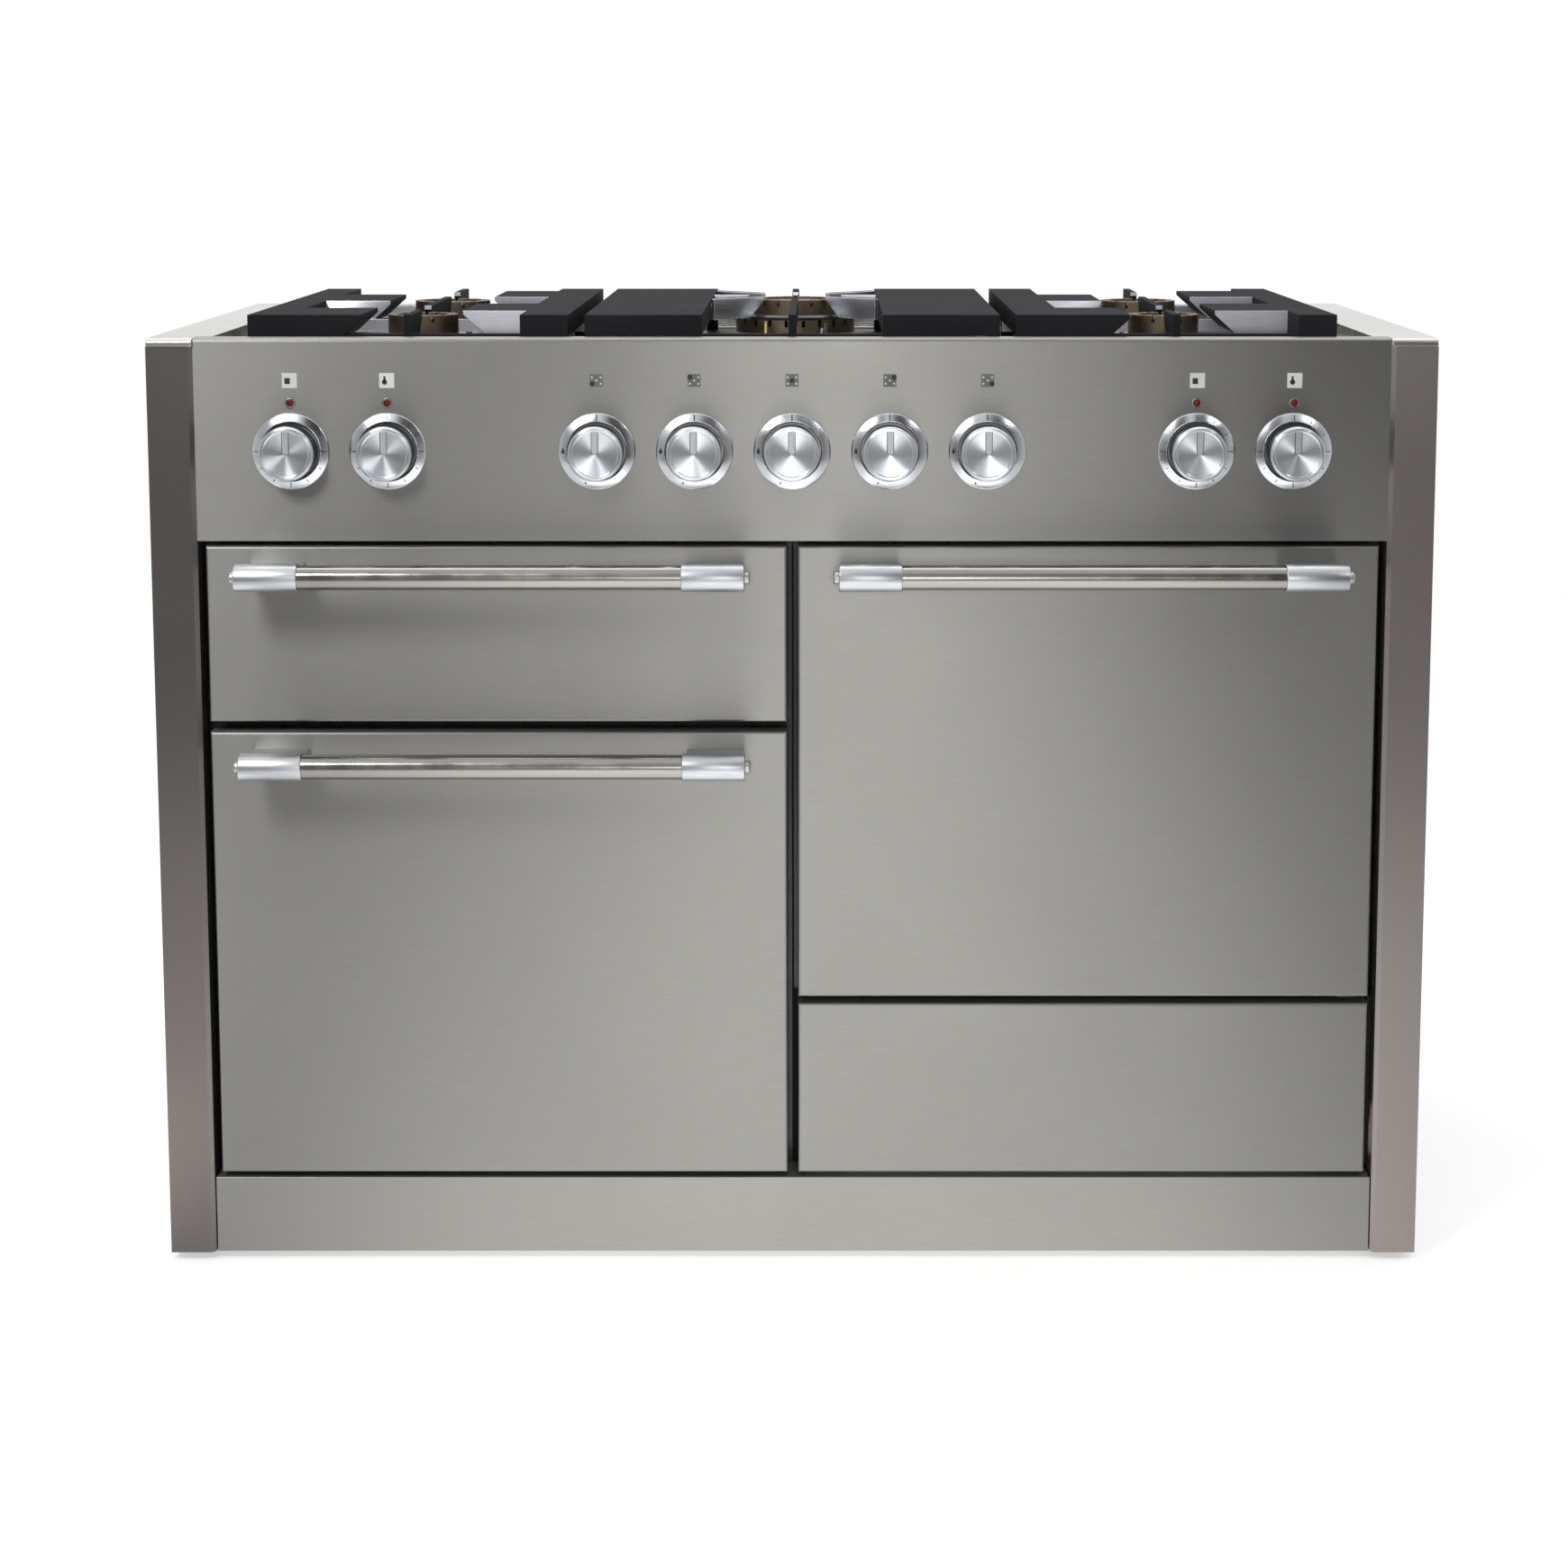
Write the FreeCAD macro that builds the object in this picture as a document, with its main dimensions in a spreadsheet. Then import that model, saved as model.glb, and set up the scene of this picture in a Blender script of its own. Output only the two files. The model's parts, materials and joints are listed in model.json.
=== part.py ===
import FreeCAD, Part
import math
import os
import re

import Sketcher
from FreeCAD import Placement, Rotation, Vector

# Range cooker: two ovens with drop-down doors, a glide-out grill, a storage drawer and five
# gas burners under three cast-iron pan supports.
# Millimetres. The front faces -Y, +X is to the right seen from the front and +Z is up.
# The origin is on the floor, in the middle of the overall width and depth.

# Driving dimensions, grouped by the piece that they belong to
SIZES = {
    # Whole appliance
    "overall_width": 1200.0,
    "body_depth": 600.0,
    "foot_clearance": 8.0,
    "sheet_steel": 2.0,
    "cut_overrun": 5.0,
    "slide_clearance": 0.3,
    # Corner posts beside the doors
    "post_width": 43.0,
    "post_depth": 30.0,
    "post_proud": 4.0,
    "post_bevel": 4.0,
    # Front faces, from the plinth up
    "plinth_height": 74.0,
    "plinth_end_gap": 1.0,
    "panel_gap": 5.0,
    "side_gap": 7.0,
    "column_gap": 10.0,
    "left_door_height": 431.0,
    "grill_gap": 10.0,
    "grill_front_height": 167.0,
    "drawer_front_height": 167.0,
    "drawer_gap": 7.0,
    "fascia_height": 190.0,
    # Doors
    "door_skin_depth": 24.0,
    "door_liner_depth": 16.0,
    "door_liner_margin": 14.0,
    "door_edge_radius": 2.5,
    "hinge_rise": 23.0,
    "hinge_setback": 14.0,
    "hinge_arm_width": 12.0,
    "hinge_arm_height": 12.0,
    "hinge_pin_radius": 4.0,
    "hinge_inset": 32.0,
    "seal_depth": 6.0,
    "seal_width": 9.0,
    # Handles
    "handle_side_gap": 38.5,
    "handle_reach": 76.0,
    "handle_drop": 21.0,
    "handle_bar_radius": 11.5,
    "handle_end_radius": 13.0,
    "handle_end_length": 58.0,
    "handle_arm_gap": 2.0,
    "handle_arm_thickness": 10.0,
    "handle_end_chamfer": 2.0,
    # Chassis of square tube
    "frame_tube": 25.0,
    "bearer_inset": 165.0,
    # Side and back panels
    "panel_return": 20.0,
    "vent_height": 5.0,
    "vent_pitch": 14.0,
    "vent_width": 260.0,
    "vent_drop": 127.5,
    # Oven cavities
    "cavity_side_gap": 50.0,
    "cavity_rear_gap": 128.0,
    "cavity_headroom": 28.0,
    "cavity_rise": 58.0,
    "insulation": 25.0,
    "flange_gap": 1.0,
    # Grill compartment
    "grill_cavity_headroom": 10.0,
    "grill_cavity_rear_gap": 52.0,
    "grill_cavity_rise": 19.0,
    # Fan behind the rear baffle of each oven
    "baffle_depth": 30.0,
    "baffle_side_gap": 32.5,
    "baffle_end_gap": 22.5,
    "baffle_hole_radius": 9.0,
    "baffle_ring_radius": 42.0,
    "fan_radius": 70.0,
    "fan_plate": 1.5,
    "fan_blade_depth": 16.0,
    "fan_blade_length": 26.0,
    "fan_hub_radius": 11.0,
    "fan_hub_depth": 12.0,
    "fan_shaft_radius": 4.0,
    "fan_shaft_grip": 18.0,
    "motor_radius": 32.0,
    "motor_depth": 46.0,
    "ring_element_radius": 92.0,
    "element_radius": 3.5,
    "grill_element_side_gap": 57.5,
    "grill_element_front_gap": 90.0,
    "grill_element_rear_gap": 48.0,
    "grill_element_drop": 16.0,
    # Wire racks and their side ladders
    "wire_radius": 2.5,
    "rack_front_gap": 22.0,
    "ladder_rise": 55.0,
    "ladder_headroom": 65.0,
    # Hob tray
    "strip_width": 56.0,
    "tray_drop": 24.0,
    "tray_front": 24.0,
    "tray_back": 40.0,
    "cap_height": 8.0,
    "cap_radius": 5.0,
    # Burners
    "burner_front": 147.0,
    "burner_rear": 200.0,
    "wok_rear": 200.0,
    "front_burner_radius": 34.0,
    "back_burner_radius": 39.0,
    "wok_radius": 62.0,
    "wok_inner_radius": 45.0,
    "burner_skirt": 16.0,
    "burner_skirt_rim": 3.0,
    "burner_base_height": 18.0,
    "wok_base_height": 6.0,
    "burner_cup_radius": 24.0,
    "burner_cup_depth": 26.0,
    "crown_height": 20.0,
    "wok_ring_height": 14.0,
    "crown_wall": 9.0,
    "tooth_gap": 3.4,
    "tooth_height": 7.0,
    "burner_cap_height": 5.0,
    "burner_cap_inset": 2.0,
    "burner_cap_drop": 2.0,
    "burner_cap_bevel": 2.0,
    "igniter_radius": 3.0,
    "igniter_gap": 5.0,
    # Cast-iron pan supports
    "support_rise": 20.0,
    "support_front": 26.0,
    "support_rear": 76.0,
    "support_edge_gap": 34.0,
    "support_inner": 210.0,
    "support_inner_band": 45.0,
    "support_outer_band": 36.0,
    "support_band_height": 20.0,
    "support_bar_width": 14.0,
    "support_bar_drop": 18.0,
    "support_bar_height": 13.0,
    "support_foot": 12.0,
    "centre_gap": 15.5,
    "centre_panel_inner": 85.0,
    "finger_width": 7.0,
    "finger_height": 22.0,
    "finger_tip_height": 4.0,
    "finger_slant": 20.0,
    "finger_gap": 3.0,
    "wing_gap": 10.0,
    "wing_lead": 50.0,
    "wing_lag": 75.0,
    # Control fascia and its controls
    "fascia_return": 22.0,
    "fascia_edge_radius": 4.0,
    "control_height": 84.5,
    "lamp_rise": 45.0,
    "gas_knob_pitch": 91.0,
    "oven_knob_inset": 132.5,
    "oven_knob_pitch": 90.5,
    "spindle_hole_radius": 6.0,
    "bezel_radius": 36.0,
    "bezel_inner_radius": 27.0,
    "bezel_height": 5.0,
    "bezel_bevel": 1.5,
    "knob_radius": 25.5,
    "knob_length": 27.0,
    "knob_bevel": 1.5,
    "knob_gap": 5.5,
    "knob_dish": 1.0,
    "knob_dish_radius": 19.0,
    "spindle_radius": 4.0,
    "lamp_radius": 3.8,
    "lamp_collar_radius": 5.0,
    "lamp_collar_height": 1.5,
    "lamp_depth": 14.0,
    "switch_width": 42.0,
    "switch_depth": 36.0,
    # Gas taps, rail and pipes
    "tap_boss_radius": 10.0,
    "tap_boss_length": 24.0,
    "tap_width": 34.0,
    "tap_depth": 44.0,
    "cone_radius": 8.0,
    "cone_length": 18.0,
    "cone_setback": 4.0,
    "cone_socket_depth": 13.0,
    "spindle_engagement": 7.0,
    "rail_height": 20.0,
    "rail_margin": 40.0,
    "pipe_radius": 4.0,
    "supply_pipe_radius": 7.0,
    "inlet_x": 330.0,
    "inlet_radius": 14.0,
    "inlet_bore_radius": 9.3,
    "inlet_bore_length": 15.0,
    "inlet_length": 32.0,
    # Mains terminal box low on the back
    "terminal_x": -330.0,
    "terminal_width": 110.0,
    "terminal_height": 70.0,
    "terminal_depth": 38.0,
    "terminal_floor": 130.0,
    "gland_radius": 15.0,
    "gland_bore_radius": 10.0,
    "gland_length": 18.0,
    # Grill carriage, pan and telescopic runners
    "runner_rear_gap": 42.0,
    "runner_height": 26.0,
    "runner_width": 10.0,
    "runner_groove": 6.0,
    "runner_bar_height": 12.0,
    "runner_split": 1.0,
    "runner_rise": 60.0,
    "carriage_plate": 2.0,
    "carriage_rail_height": 14.0,
    "pan_margin": 34.0,
    "pan_rear_gap": 25.0,
    "pan_height": 34.0,
    "pan_back_gap": 30.0,
    "trivet_height": 24.0,
    "trivet_margin": 12.0,
    # Storage drawer
    "drawer_box_rear_gap": 72.0,
    "drawer_box_height": 120.0,
    "drawer_box_inset": 45.0,
    "drawer_box_rise": 16.0,
    "drawer_rib_width": 8.0,
    "drawer_rib_height": 18.0,
    "drawer_rib_rise": 60.0,
    "drawer_runner_height": 32.0,
    # Levelling feet
    "foot_radius": 16.0,
    "foot_stem_radius": 6.0,
    "foot_stem_length": 62.0,
    "foot_bevel": 2.0,
    "foot_inset": 55.0,
}

# Places that follow from the driving dimensions
PLACES = {
    "front_face": "(Sizes.handle_reach - Sizes.body_depth) / 2",
    "back_face": "Places.front_face + Sizes.body_depth",
    "side_face": "Sizes.overall_width / 2",
    "post_inner": "Places.side_face - Sizes.post_width",
    "post_front": "Places.front_face - Sizes.post_proud",
    "post_back": "Places.post_front + Sizes.post_depth",
    "skin_inner": "Places.side_face - Sizes.sheet_steel",
    "door_outer": "Places.post_inner - Sizes.side_gap",
    "door_inner": "Sizes.column_gap / 2",
    "column_middle": "(Places.door_outer + Places.door_inner) / 2",
    "door_width": "Places.door_outer - Places.door_inner",
    "handle_length": "Places.door_width - 2 * Sizes.handle_side_gap",
    "plinth_top": "Sizes.foot_clearance + Sizes.plinth_height",
    "front_bottom": "Places.plinth_top + Sizes.panel_gap",
    "left_door_top": "Places.front_bottom + Sizes.left_door_height",
    "grill_bottom": "Places.left_door_top + Sizes.grill_gap",
    "front_top": "Places.grill_bottom + Sizes.grill_front_height",
    "drawer_top": "Places.front_bottom + Sizes.drawer_front_height",
    "right_door_bottom": "Places.drawer_top + Sizes.drawer_gap",
    "fascia_bottom": "Places.front_top + Sizes.panel_gap",
    "rim": "Places.fascia_bottom + Sizes.fascia_height",
    "cap_bottom": "Places.rim - Sizes.cap_height",
    "door_back": "Places.front_face + Sizes.door_skin_depth + Sizes.door_liner_depth",
    "door_split": "Places.front_face + Sizes.door_skin_depth",
    "flange_front": "Places.door_back + Sizes.seal_depth",
    "cavity_front": "Places.flange_front + Sizes.sheet_steel",
    "cavity_width": "Places.door_width - 2 * Sizes.cavity_side_gap",
    "cavity_height": "Sizes.left_door_height - Sizes.cavity_rise - Sizes.cavity_headroom",
    "ladder_pitch": "(Places.cavity_height - Sizes.ladder_rise - Sizes.ladder_headroom) / 3",
    "cavity_back": "Places.back_face - Sizes.cavity_rear_gap",
    "cavity_depth": "Places.cavity_back - Places.cavity_front",
    "liner_back": "Places.cavity_back + Sizes.sheet_steel",
    "insulation_back": "Places.liner_back + Sizes.insulation",
    "left_cavity_bottom": "Places.front_bottom + Sizes.cavity_rise",
    "right_cavity_bottom": "Places.right_door_bottom + Sizes.cavity_rise",
    "grill_cavity_bottom": "Places.grill_bottom + Sizes.grill_cavity_rise",
    "grill_cavity_height": "Sizes.grill_front_height - Sizes.grill_cavity_rise - Sizes.grill_cavity_headroom",
    "grill_cavity_back": "Places.cavity_back - Sizes.grill_cavity_rear_gap",
    "grill_element_front": "Places.cavity_front + Sizes.grill_element_front_gap",
    "grill_element_back": "Places.grill_cavity_back - Sizes.grill_element_rear_gap",
    "runner_back": "Places.grill_cavity_back - Sizes.runner_rear_gap",
    "pan_front": "Places.cavity_front + Sizes.pan_back_gap / 2",
    "pan_back": "Places.runner_back - Sizes.pan_rear_gap",
    "baffle_width": "Places.cavity_width - 2 * Sizes.baffle_side_gap",
    "baffle_height": "Places.cavity_height - 2 * Sizes.baffle_end_gap",
    "left_flange_top": "Places.left_door_top + Sizes.grill_gap / 2",
    "flange_top": "Places.front_top + Sizes.panel_gap / 2",
    "right_flange_bottom": "Places.drawer_top + Sizes.drawer_gap / 2",
    "chassis_bottom": "Places.plinth_top - Sizes.frame_tube",
    "frame_outer": "Places.skin_inner",
    "frame_inner": "Places.skin_inner - Sizes.frame_tube",
    "frame_back": "Places.back_face - 2 * Sizes.sheet_steel",
    "tray_floor": "Places.rim - Sizes.tray_drop",
    "tray_under": "Places.tray_floor - Sizes.sheet_steel",
    "frame_top": "Places.tray_under",
    "support_top": "Places.rim + Sizes.support_rise",
    "support_start": "Places.front_face + Sizes.support_front",
    "support_end": "Places.back_face - Sizes.support_rear",
    "support_middle": "(Places.support_start + Places.support_end) / 2",
    "support_outer": "Places.side_face - Sizes.strip_width - Sizes.support_edge_gap",
    "centre_panel_outer": "Sizes.support_inner - Sizes.centre_gap",
    "burner_x": "(Sizes.support_inner + Places.support_outer) / 2",
    "burner_front_y": "Places.front_face + Sizes.burner_front",
    "burner_back_y": "Places.back_face - Sizes.burner_rear",
    "wok_y": "Places.back_face - Sizes.wok_rear",
    "burner_top": "Places.tray_floor + Sizes.burner_base_height",
    "crown_top": "Places.burner_top + Sizes.crown_height",
    "wok_top": "Places.tray_floor + Sizes.wok_base_height",
    "wok_ring_top": "Places.wok_top + Sizes.wok_ring_height",
    "control_line": "Places.fascia_bottom + Sizes.control_height",
    "oven_knob_far": "Places.side_face - Sizes.oven_knob_inset",
    "oven_knob_near": "Places.oven_knob_far - Sizes.oven_knob_pitch",
    "fascia_back": "Places.front_face + Sizes.sheet_steel",
    "tap_front": "Places.fascia_back + Sizes.tap_boss_length",
    "tap_back": "Places.tap_front + Sizes.tap_depth",
    "rail_top": "Places.control_line - Sizes.tap_width / 2",
    "vent_bottom": "Places.rail_top - Sizes.vent_drop",
    "cone_front": "Places.tap_front + Sizes.cone_setback",
    "knob_back": "Places.front_face - Sizes.knob_gap",
    "knob_front": "Places.knob_back - Sizes.knob_length",
    "runner_middle": "Places.grill_cavity_bottom + Sizes.runner_rise",
    "runner_reach": "2 * Sizes.runner_width + Sizes.runner_split",
    "carriage_floor": "Places.runner_middle - Sizes.runner_height / 2",
    "drawer_box_side": "Places.door_width / 2 - Sizes.drawer_box_inset",
    "drawer_floor": "Places.front_bottom + Sizes.drawer_box_rise",
    "drawer_back": "Places.frame_back - Sizes.drawer_box_rear_gap",
}

# Counts and angles
SIDES = {"left": -1, "right": 1}
RACKS_PER_OVEN = 2
RACK_WIRES = 9
LADDER_STEPS = 4
GRILL_ELEMENT_RUNS = 6
VENT_SLOTS = 7
FAN_BLADES = 8
BAFFLE_HOLES = 8
SMALL_CROWN_TEETH = 16
WOK_TEETH = 22
TRIVET_BARS = 7
QUARTER_TURN = 90.0
FULL_TURN = 360.0
DIAGONAL_TURN = 45.0
HALF_TURN = 180.0
BAR_SIDES = 8
SAME_PLACE_SHARE = 1e-6

document = FreeCAD.newDocument("RangeCooker")
sheet = document.addObject("Spreadsheet::Sheet", "Sizes")
for row, (alias, size) in enumerate(SIZES.items(), start=1):
    sheet.set(f"A{row}", str(size))
    sheet.setAlias(f"A{row}", alias)
places = document.addObject("App::VarSet", "Places")
for name in PLACES:
    places.addProperty("App::PropertyFloat", name)
document.recompute()
for name, rule in PLACES.items():
    places.setExpression(name, rule)
document.recompute()

sub_parts = []
ALONG = {
    "x": Rotation(Vector(0, 1, 0), QUARTER_TURN),
    "y": Rotation(Vector(1, 0, 0), -QUARTER_TURN),
    "z": Rotation(),
}
WORD = re.compile(r"\b[a-z][a-z_0-9]*\b")


def formula(text):
    """A formula in plain names, as an expression that reads the sheet and the places."""

    def full_name(match):
        word = match.group(0)
        if word in SIZES:
            return "Sizes." + word
        if word in PLACES:
            return "Places." + word
        return word

    return WORD.sub(full_name, str(text))


def bind(thing, **rules):
    """Bind properties of an object to formulas."""
    for field, rule in rules.items():
        thing.setExpression(field, formula(rule))


def move(thing, x="0", y="0", z="0"):
    """Bind the place of an object to formulas."""
    for axis, rule in (("x", x), ("y", y), ("z", z)):
        if str(rule) != "0":
            thing.setExpression(f"Placement.Base.{axis}", formula(rule))
    return thing


def block(name, x, y, z):
    """A box between a low and a high place on each axis."""
    box = document.addObject("Part::Box", name)
    bind(box, Length=f"({x[1]}) - ({x[0]})", Width=f"({y[1]}) - ({y[0]})", Height=f"({z[1]}) - ({z[0]})")
    return move(box, x[0], y[0], z[0])


def rod(name, axis, start, length, radius):
    """A round bar that runs from its start place along one axis."""
    bar = document.addObject("Part::Cylinder", name)
    bind(bar, Radius=radius, Height=length)
    bar.Placement = Placement(Vector(), ALONG[axis])
    return move(bar, *start)


def flat_bar(name, axis, start, length, radius):
    """A bar of octagonal section along one axis, with its flats at the radius."""
    bar = document.addObject("Part::Prism", name)
    bar.Polygon = BAR_SIDES
    bind(bar, Circumradius=f"{radius} / cos({HALF_TURN / BAR_SIDES} deg)", Height=length)
    level = Rotation(Vector(0, 0, 1), HALF_TURN / BAR_SIDES)
    bar.Placement = Placement(Vector(), ALONG[axis] * level)
    return move(bar, *start)


def flat_section(radius, place, size):
    """The corners of that section: its middle at a radius and a place along the axis."""
    corner = f"{size} / cos({HALF_TURN / BAR_SIDES} deg)"
    turns = [(side + 1 / 2) * FULL_TURN / BAR_SIDES for side in range(BAR_SIDES)]
    return [
        (f"{radius} + {corner} * cos({turn} deg)", f"{place} + {corner} * sin({turn} deg)")
        for turn in turns
    ]


def fuse(name, pieces):
    """One solid of several that meet."""
    joined = document.addObject("Part::MultiFuse", name)
    joined.Shapes = pieces
    joined.Refine = True
    return joined


def group(name, pieces):
    """Separate solids that share a sub-part."""
    together = document.addObject("Part::Compound", name)
    together.Links = pieces
    return together


def cut(name, base, tools):
    """A solid less one or more cutters."""
    remainder = document.addObject("Part::Cut", name)
    remainder.Base = base
    remainder.Tool = tools[0] if len(tools) == 1 else group(name + "Cutters", tools)
    return remainder


def sub_part(label, thing):
    """Name an object as a finished sub-part."""
    thing.Label = label
    sub_parts.append(thing)
    return thing


def origin_feature(body, role):
    """A plane or axis of a body's own origin."""
    return next(feature for feature in body.Origin.OriginFeatures if feature.Role == role)


def outline(body, plane, points):
    """A closed sketch of straight edges, with both coordinates of every corner bound."""
    sketch = body.newObject("Sketcher::SketchObject", "Outline")
    sketch.AttachmentSupport = [(origin_feature(body, plane), "")]
    sketch.MapMode = "FlatFace"
    count = len(points)
    turn = 2 * math.pi / count
    guesses = [Vector(math.cos(turn * step), math.sin(turn * step), 0) for step in range(count)]
    for step in range(count):
        sketch.addGeometry(Part.LineSegment(guesses[step], guesses[(step + 1) % count]), False)
    for step in range(count):
        sketch.addConstraint(Sketcher.Constraint("Coincident", step, 2, (step + 1) % count, 1))
    for step, (across, up) in enumerate(points):
        for kind, rule, guess in (
            ("DistanceX", across, guesses[step].x),
            ("DistanceY", up, guesses[step].y),
        ):
            index = sketch.addConstraint(Sketcher.Constraint(kind, step, 1, guess))
            sketch.setExpression(f"Constraints[{index}]", formula(rule))
    return sketch


def extruded(name, plane, points, length):
    """A body padded evenly to both sides of a plane through its origin."""
    body = document.addObject("PartDesign::Body", name)
    pad = body.newObject("PartDesign::Pad", name + "Pad")
    pad.Profile = outline(body, plane, points)
    pad.Midplane = True
    bind(pad, Length=length)
    return body


def turned(name, axis, points, sweep=FULL_TURN):
    """A body of revolution: points are (radius, place along the axis)."""
    body = document.addObject("PartDesign::Body", name)
    plane = {"y": "XY_Plane", "z": "XZ_Plane"}[axis]
    turning = body.newObject("PartDesign::Revolution", name + "Turning")
    turning.Profile = outline(body, plane, points)
    turning.ReferenceAxis = (turning.Profile[0], ["V_Axis"])
    turning.Angle = sweep
    return body


def round_edges(body, radius, wanted):
    """Round the edges of a body's tip that pass a test on the edge."""
    document.recompute()
    base = body.Tip
    names = [f"Edge{i}" for i, edge in enumerate(base.Shape.Edges, start=1) if wanted(edge)]
    rounding = body.newObject("PartDesign::Fillet", body.Name + "Rounding")
    rounding.Base = (base, names)
    bind(rounding, Radius=radius)
    return body


def round_top_front(body, radius, front):
    """Round the top front edge of a body that reaches the rim at a front place."""
    document.recompute()
    same = places.rim * SAME_PLACE_SHARE
    y_front = getattr(places, front)

    def at_corner(edge):
        middle = edge.CenterOfMass
        return abs(middle.z - places.rim) < same and abs(middle.y - y_front) < same

    return round_edges(body, radius, at_corner)


def polar_cut(body, plane, points, width, count):
    """Cut a slot of the outline, evenly to both sides of the plane, and repeat it round Z."""
    pocket = body.newObject("PartDesign::Pocket", body.Name + "Slot")
    pocket.Profile = outline(body, plane, points)
    pocket.Midplane = True
    bind(pocket, Length=width)
    pattern = body.newObject("PartDesign::PolarPattern", body.Name + "Slots")
    pattern.Originals = [pocket]
    pattern.Axis = (origin_feature(body, "Z_Axis"), [""])
    pattern.Angle = FULL_TURN
    pattern.Occurrences = count
    body.Tip = pattern
    return body


def mirror_span(sign, low, high):
    """The span of x between two distances from the middle, on the side of the sign."""
    if sign > 0:
        return (low, high)
    return (f"0 - ({high})", f"0 - ({low})")


def sheet_tray(name, x, y, z, wall, open_side):
    """A folded sheet box, open towards the front, the back or the top."""
    inner_y = {
        "front": (f"{y[0]} - cut_overrun", f"{y[1]} - {wall}"),
        "back": (f"{y[0]} + {wall}", f"{y[1]} + cut_overrun"),
        "top": (f"{y[0]} + {wall}", f"{y[1]} - {wall}"),
    }[open_side]
    top = f"{z[1]} + cut_overrun" if open_side == "top" else f"{z[1]} - {wall}"
    shell = block(name + "Shell", x, y, z)
    hollow = block(
        name + "Hollow", (f"{x[0]} + {wall}", f"{x[1]} - {wall}"), inner_y, (f"{z[0]} + {wall}", top)
    )
    return cut(name, shell, [hollow])


# Chassis: a welded frame of square tube that carries every box inside the casing


def frame_ring(name, sign, bottom):
    """Rails round one column, which carry the box above them."""
    outer = mirror_span(sign, "frame_tube / 2", "frame_outer")
    middle = mirror_span(sign, "frame_tube / 2", "frame_inner")
    end = mirror_span(sign, "frame_inner", "frame_outer")
    z = (bottom, f"{bottom} + frame_tube")
    front = ("cavity_front", "cavity_front + frame_tube")
    back = ("frame_back - frame_tube", "frame_back")
    between = ("cavity_front + frame_tube", "frame_back - frame_tube")
    rails = [
        block(name + "Front", middle, front, z),
        block(name + "Back", middle, back, z),
        block(name + "Side", end, between, z),
    ]
    for number, place in enumerate((f"{outer[0]} + bearer_inset", f"{outer[1]} - bearer_inset")):
        bearer = (f"{place} - frame_tube / 2", f"{place} + frame_tube / 2")
        rails.append(block(f"{name}Bearer{number}", bearer, between, z))
    return rails


def base_frame():
    front = ("cavity_front", "cavity_front + frame_tube")
    back = ("frame_back - frame_tube", "frame_back")
    between = ("cavity_front + frame_tube", "frame_back - frame_tube")
    height = ("chassis_bottom", "frame_top")
    middle = ("0 - frame_tube / 2", "frame_tube / 2")
    rails = [
        block("UprightFront", middle, front, ("chassis_bottom", "flange_top")),
        block("UprightBack", middle, back, height),
        block("SoleMiddle", middle, between, ("chassis_bottom", "plinth_top")),
    ]
    for y_name, y in (("Front", front), ("Back", back)):
        for side, sign in SIDES.items():
            corner = mirror_span(sign, "frame_inner", "frame_outer")
            rails.append(block(f"Upright{y_name}{side}", corner, y, height))
            span = mirror_span(sign, "frame_tube / 2", "frame_inner")
            for level, bottom in (("Sole", "chassis_bottom"), ("Top", "frame_top - frame_tube")):
                rails.append(block(f"{level}{y_name}{side}", span, y, (bottom, f"{bottom} + frame_tube")))
    for side, sign in SIDES.items():
        span = mirror_span(sign, "frame_inner", "frame_outer")
        for level, bottom in (("Sole", "chassis_bottom"), ("Top", "frame_top - frame_tube")):
            rails.append(block(f"{level}Run{side}", span, between, (bottom, f"{bottom} + frame_tube")))
    under_box = "sheet_steel - insulation - frame_tube"
    rails += frame_ring("LeftRing", -1, f"left_cavity_bottom - 2 * sheet_steel + {under_box}")
    rails += frame_ring("RightRing", 1, f"right_cavity_bottom - 2 * sheet_steel + {under_box}")
    rails += frame_ring("GrillRing", -1, "grill_cavity_bottom - sheet_steel - frame_tube")
    sockets = [
        rod(f"FootSocket{number}", "z", (x, y, "chassis_bottom - cut_overrun"),
            "cut_overrun + foot_stem_length", "foot_stem_radius + slide_clearance")
        for number, (x, y) in enumerate(foot_places(), start=1)
    ]
    sub_part("base_frame", cut("BaseFrame", fuse("FrameRails", rails), sockets))


def foot_places():
    """The feet: two rows of three."""
    rows = ("cavity_front + frame_tube / 2", "frame_back - frame_tube / 2")
    columns = ("0 - side_face + foot_inset", "0", "side_face - foot_inset")
    return [(x, y) for y in rows for x in columns]


def levelling_feet():
    feet = []
    for number, (x, y) in enumerate(foot_places(), start=1):
        foot = turned(f"Foot{number}", "z", [
            ("0", "0"),
            ("foot_radius - foot_bevel", "0"),
            ("foot_radius", "foot_bevel"),
            ("foot_radius", "foot_clearance"),
            ("foot_stem_radius", "foot_clearance"),
            ("foot_stem_radius", "foot_clearance + foot_stem_length"),
            ("0", "foot_clearance + foot_stem_length"),
        ])
        feet.append(move(foot, x, y))
    sub_part("levelling_feet", group("LevellingFeet", feet))


# Outer casing


def side_panels():
    panels = []
    for side, sign in SIDES.items():
        x = mirror_span(sign, "side_face - panel_return", "side_face")
        hollow_x = mirror_span(sign, "side_face - panel_return - cut_overrun", "skin_inner")
        shell = block(f"SideShell{side}", x, ("post_back", "back_face"), ("foot_clearance", "cap_bottom"))
        hollow = block(f"SideHollow{side}", hollow_x,
                       ("post_back + sheet_steel", "back_face - sheet_steel"),
                       ("foot_clearance + sheet_steel", "cap_bottom - sheet_steel"))
        panels.append(cut(f"SidePanel{side}", shell, [hollow]))
    sub_part("side_panels", group("SidePanels", panels))


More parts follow.
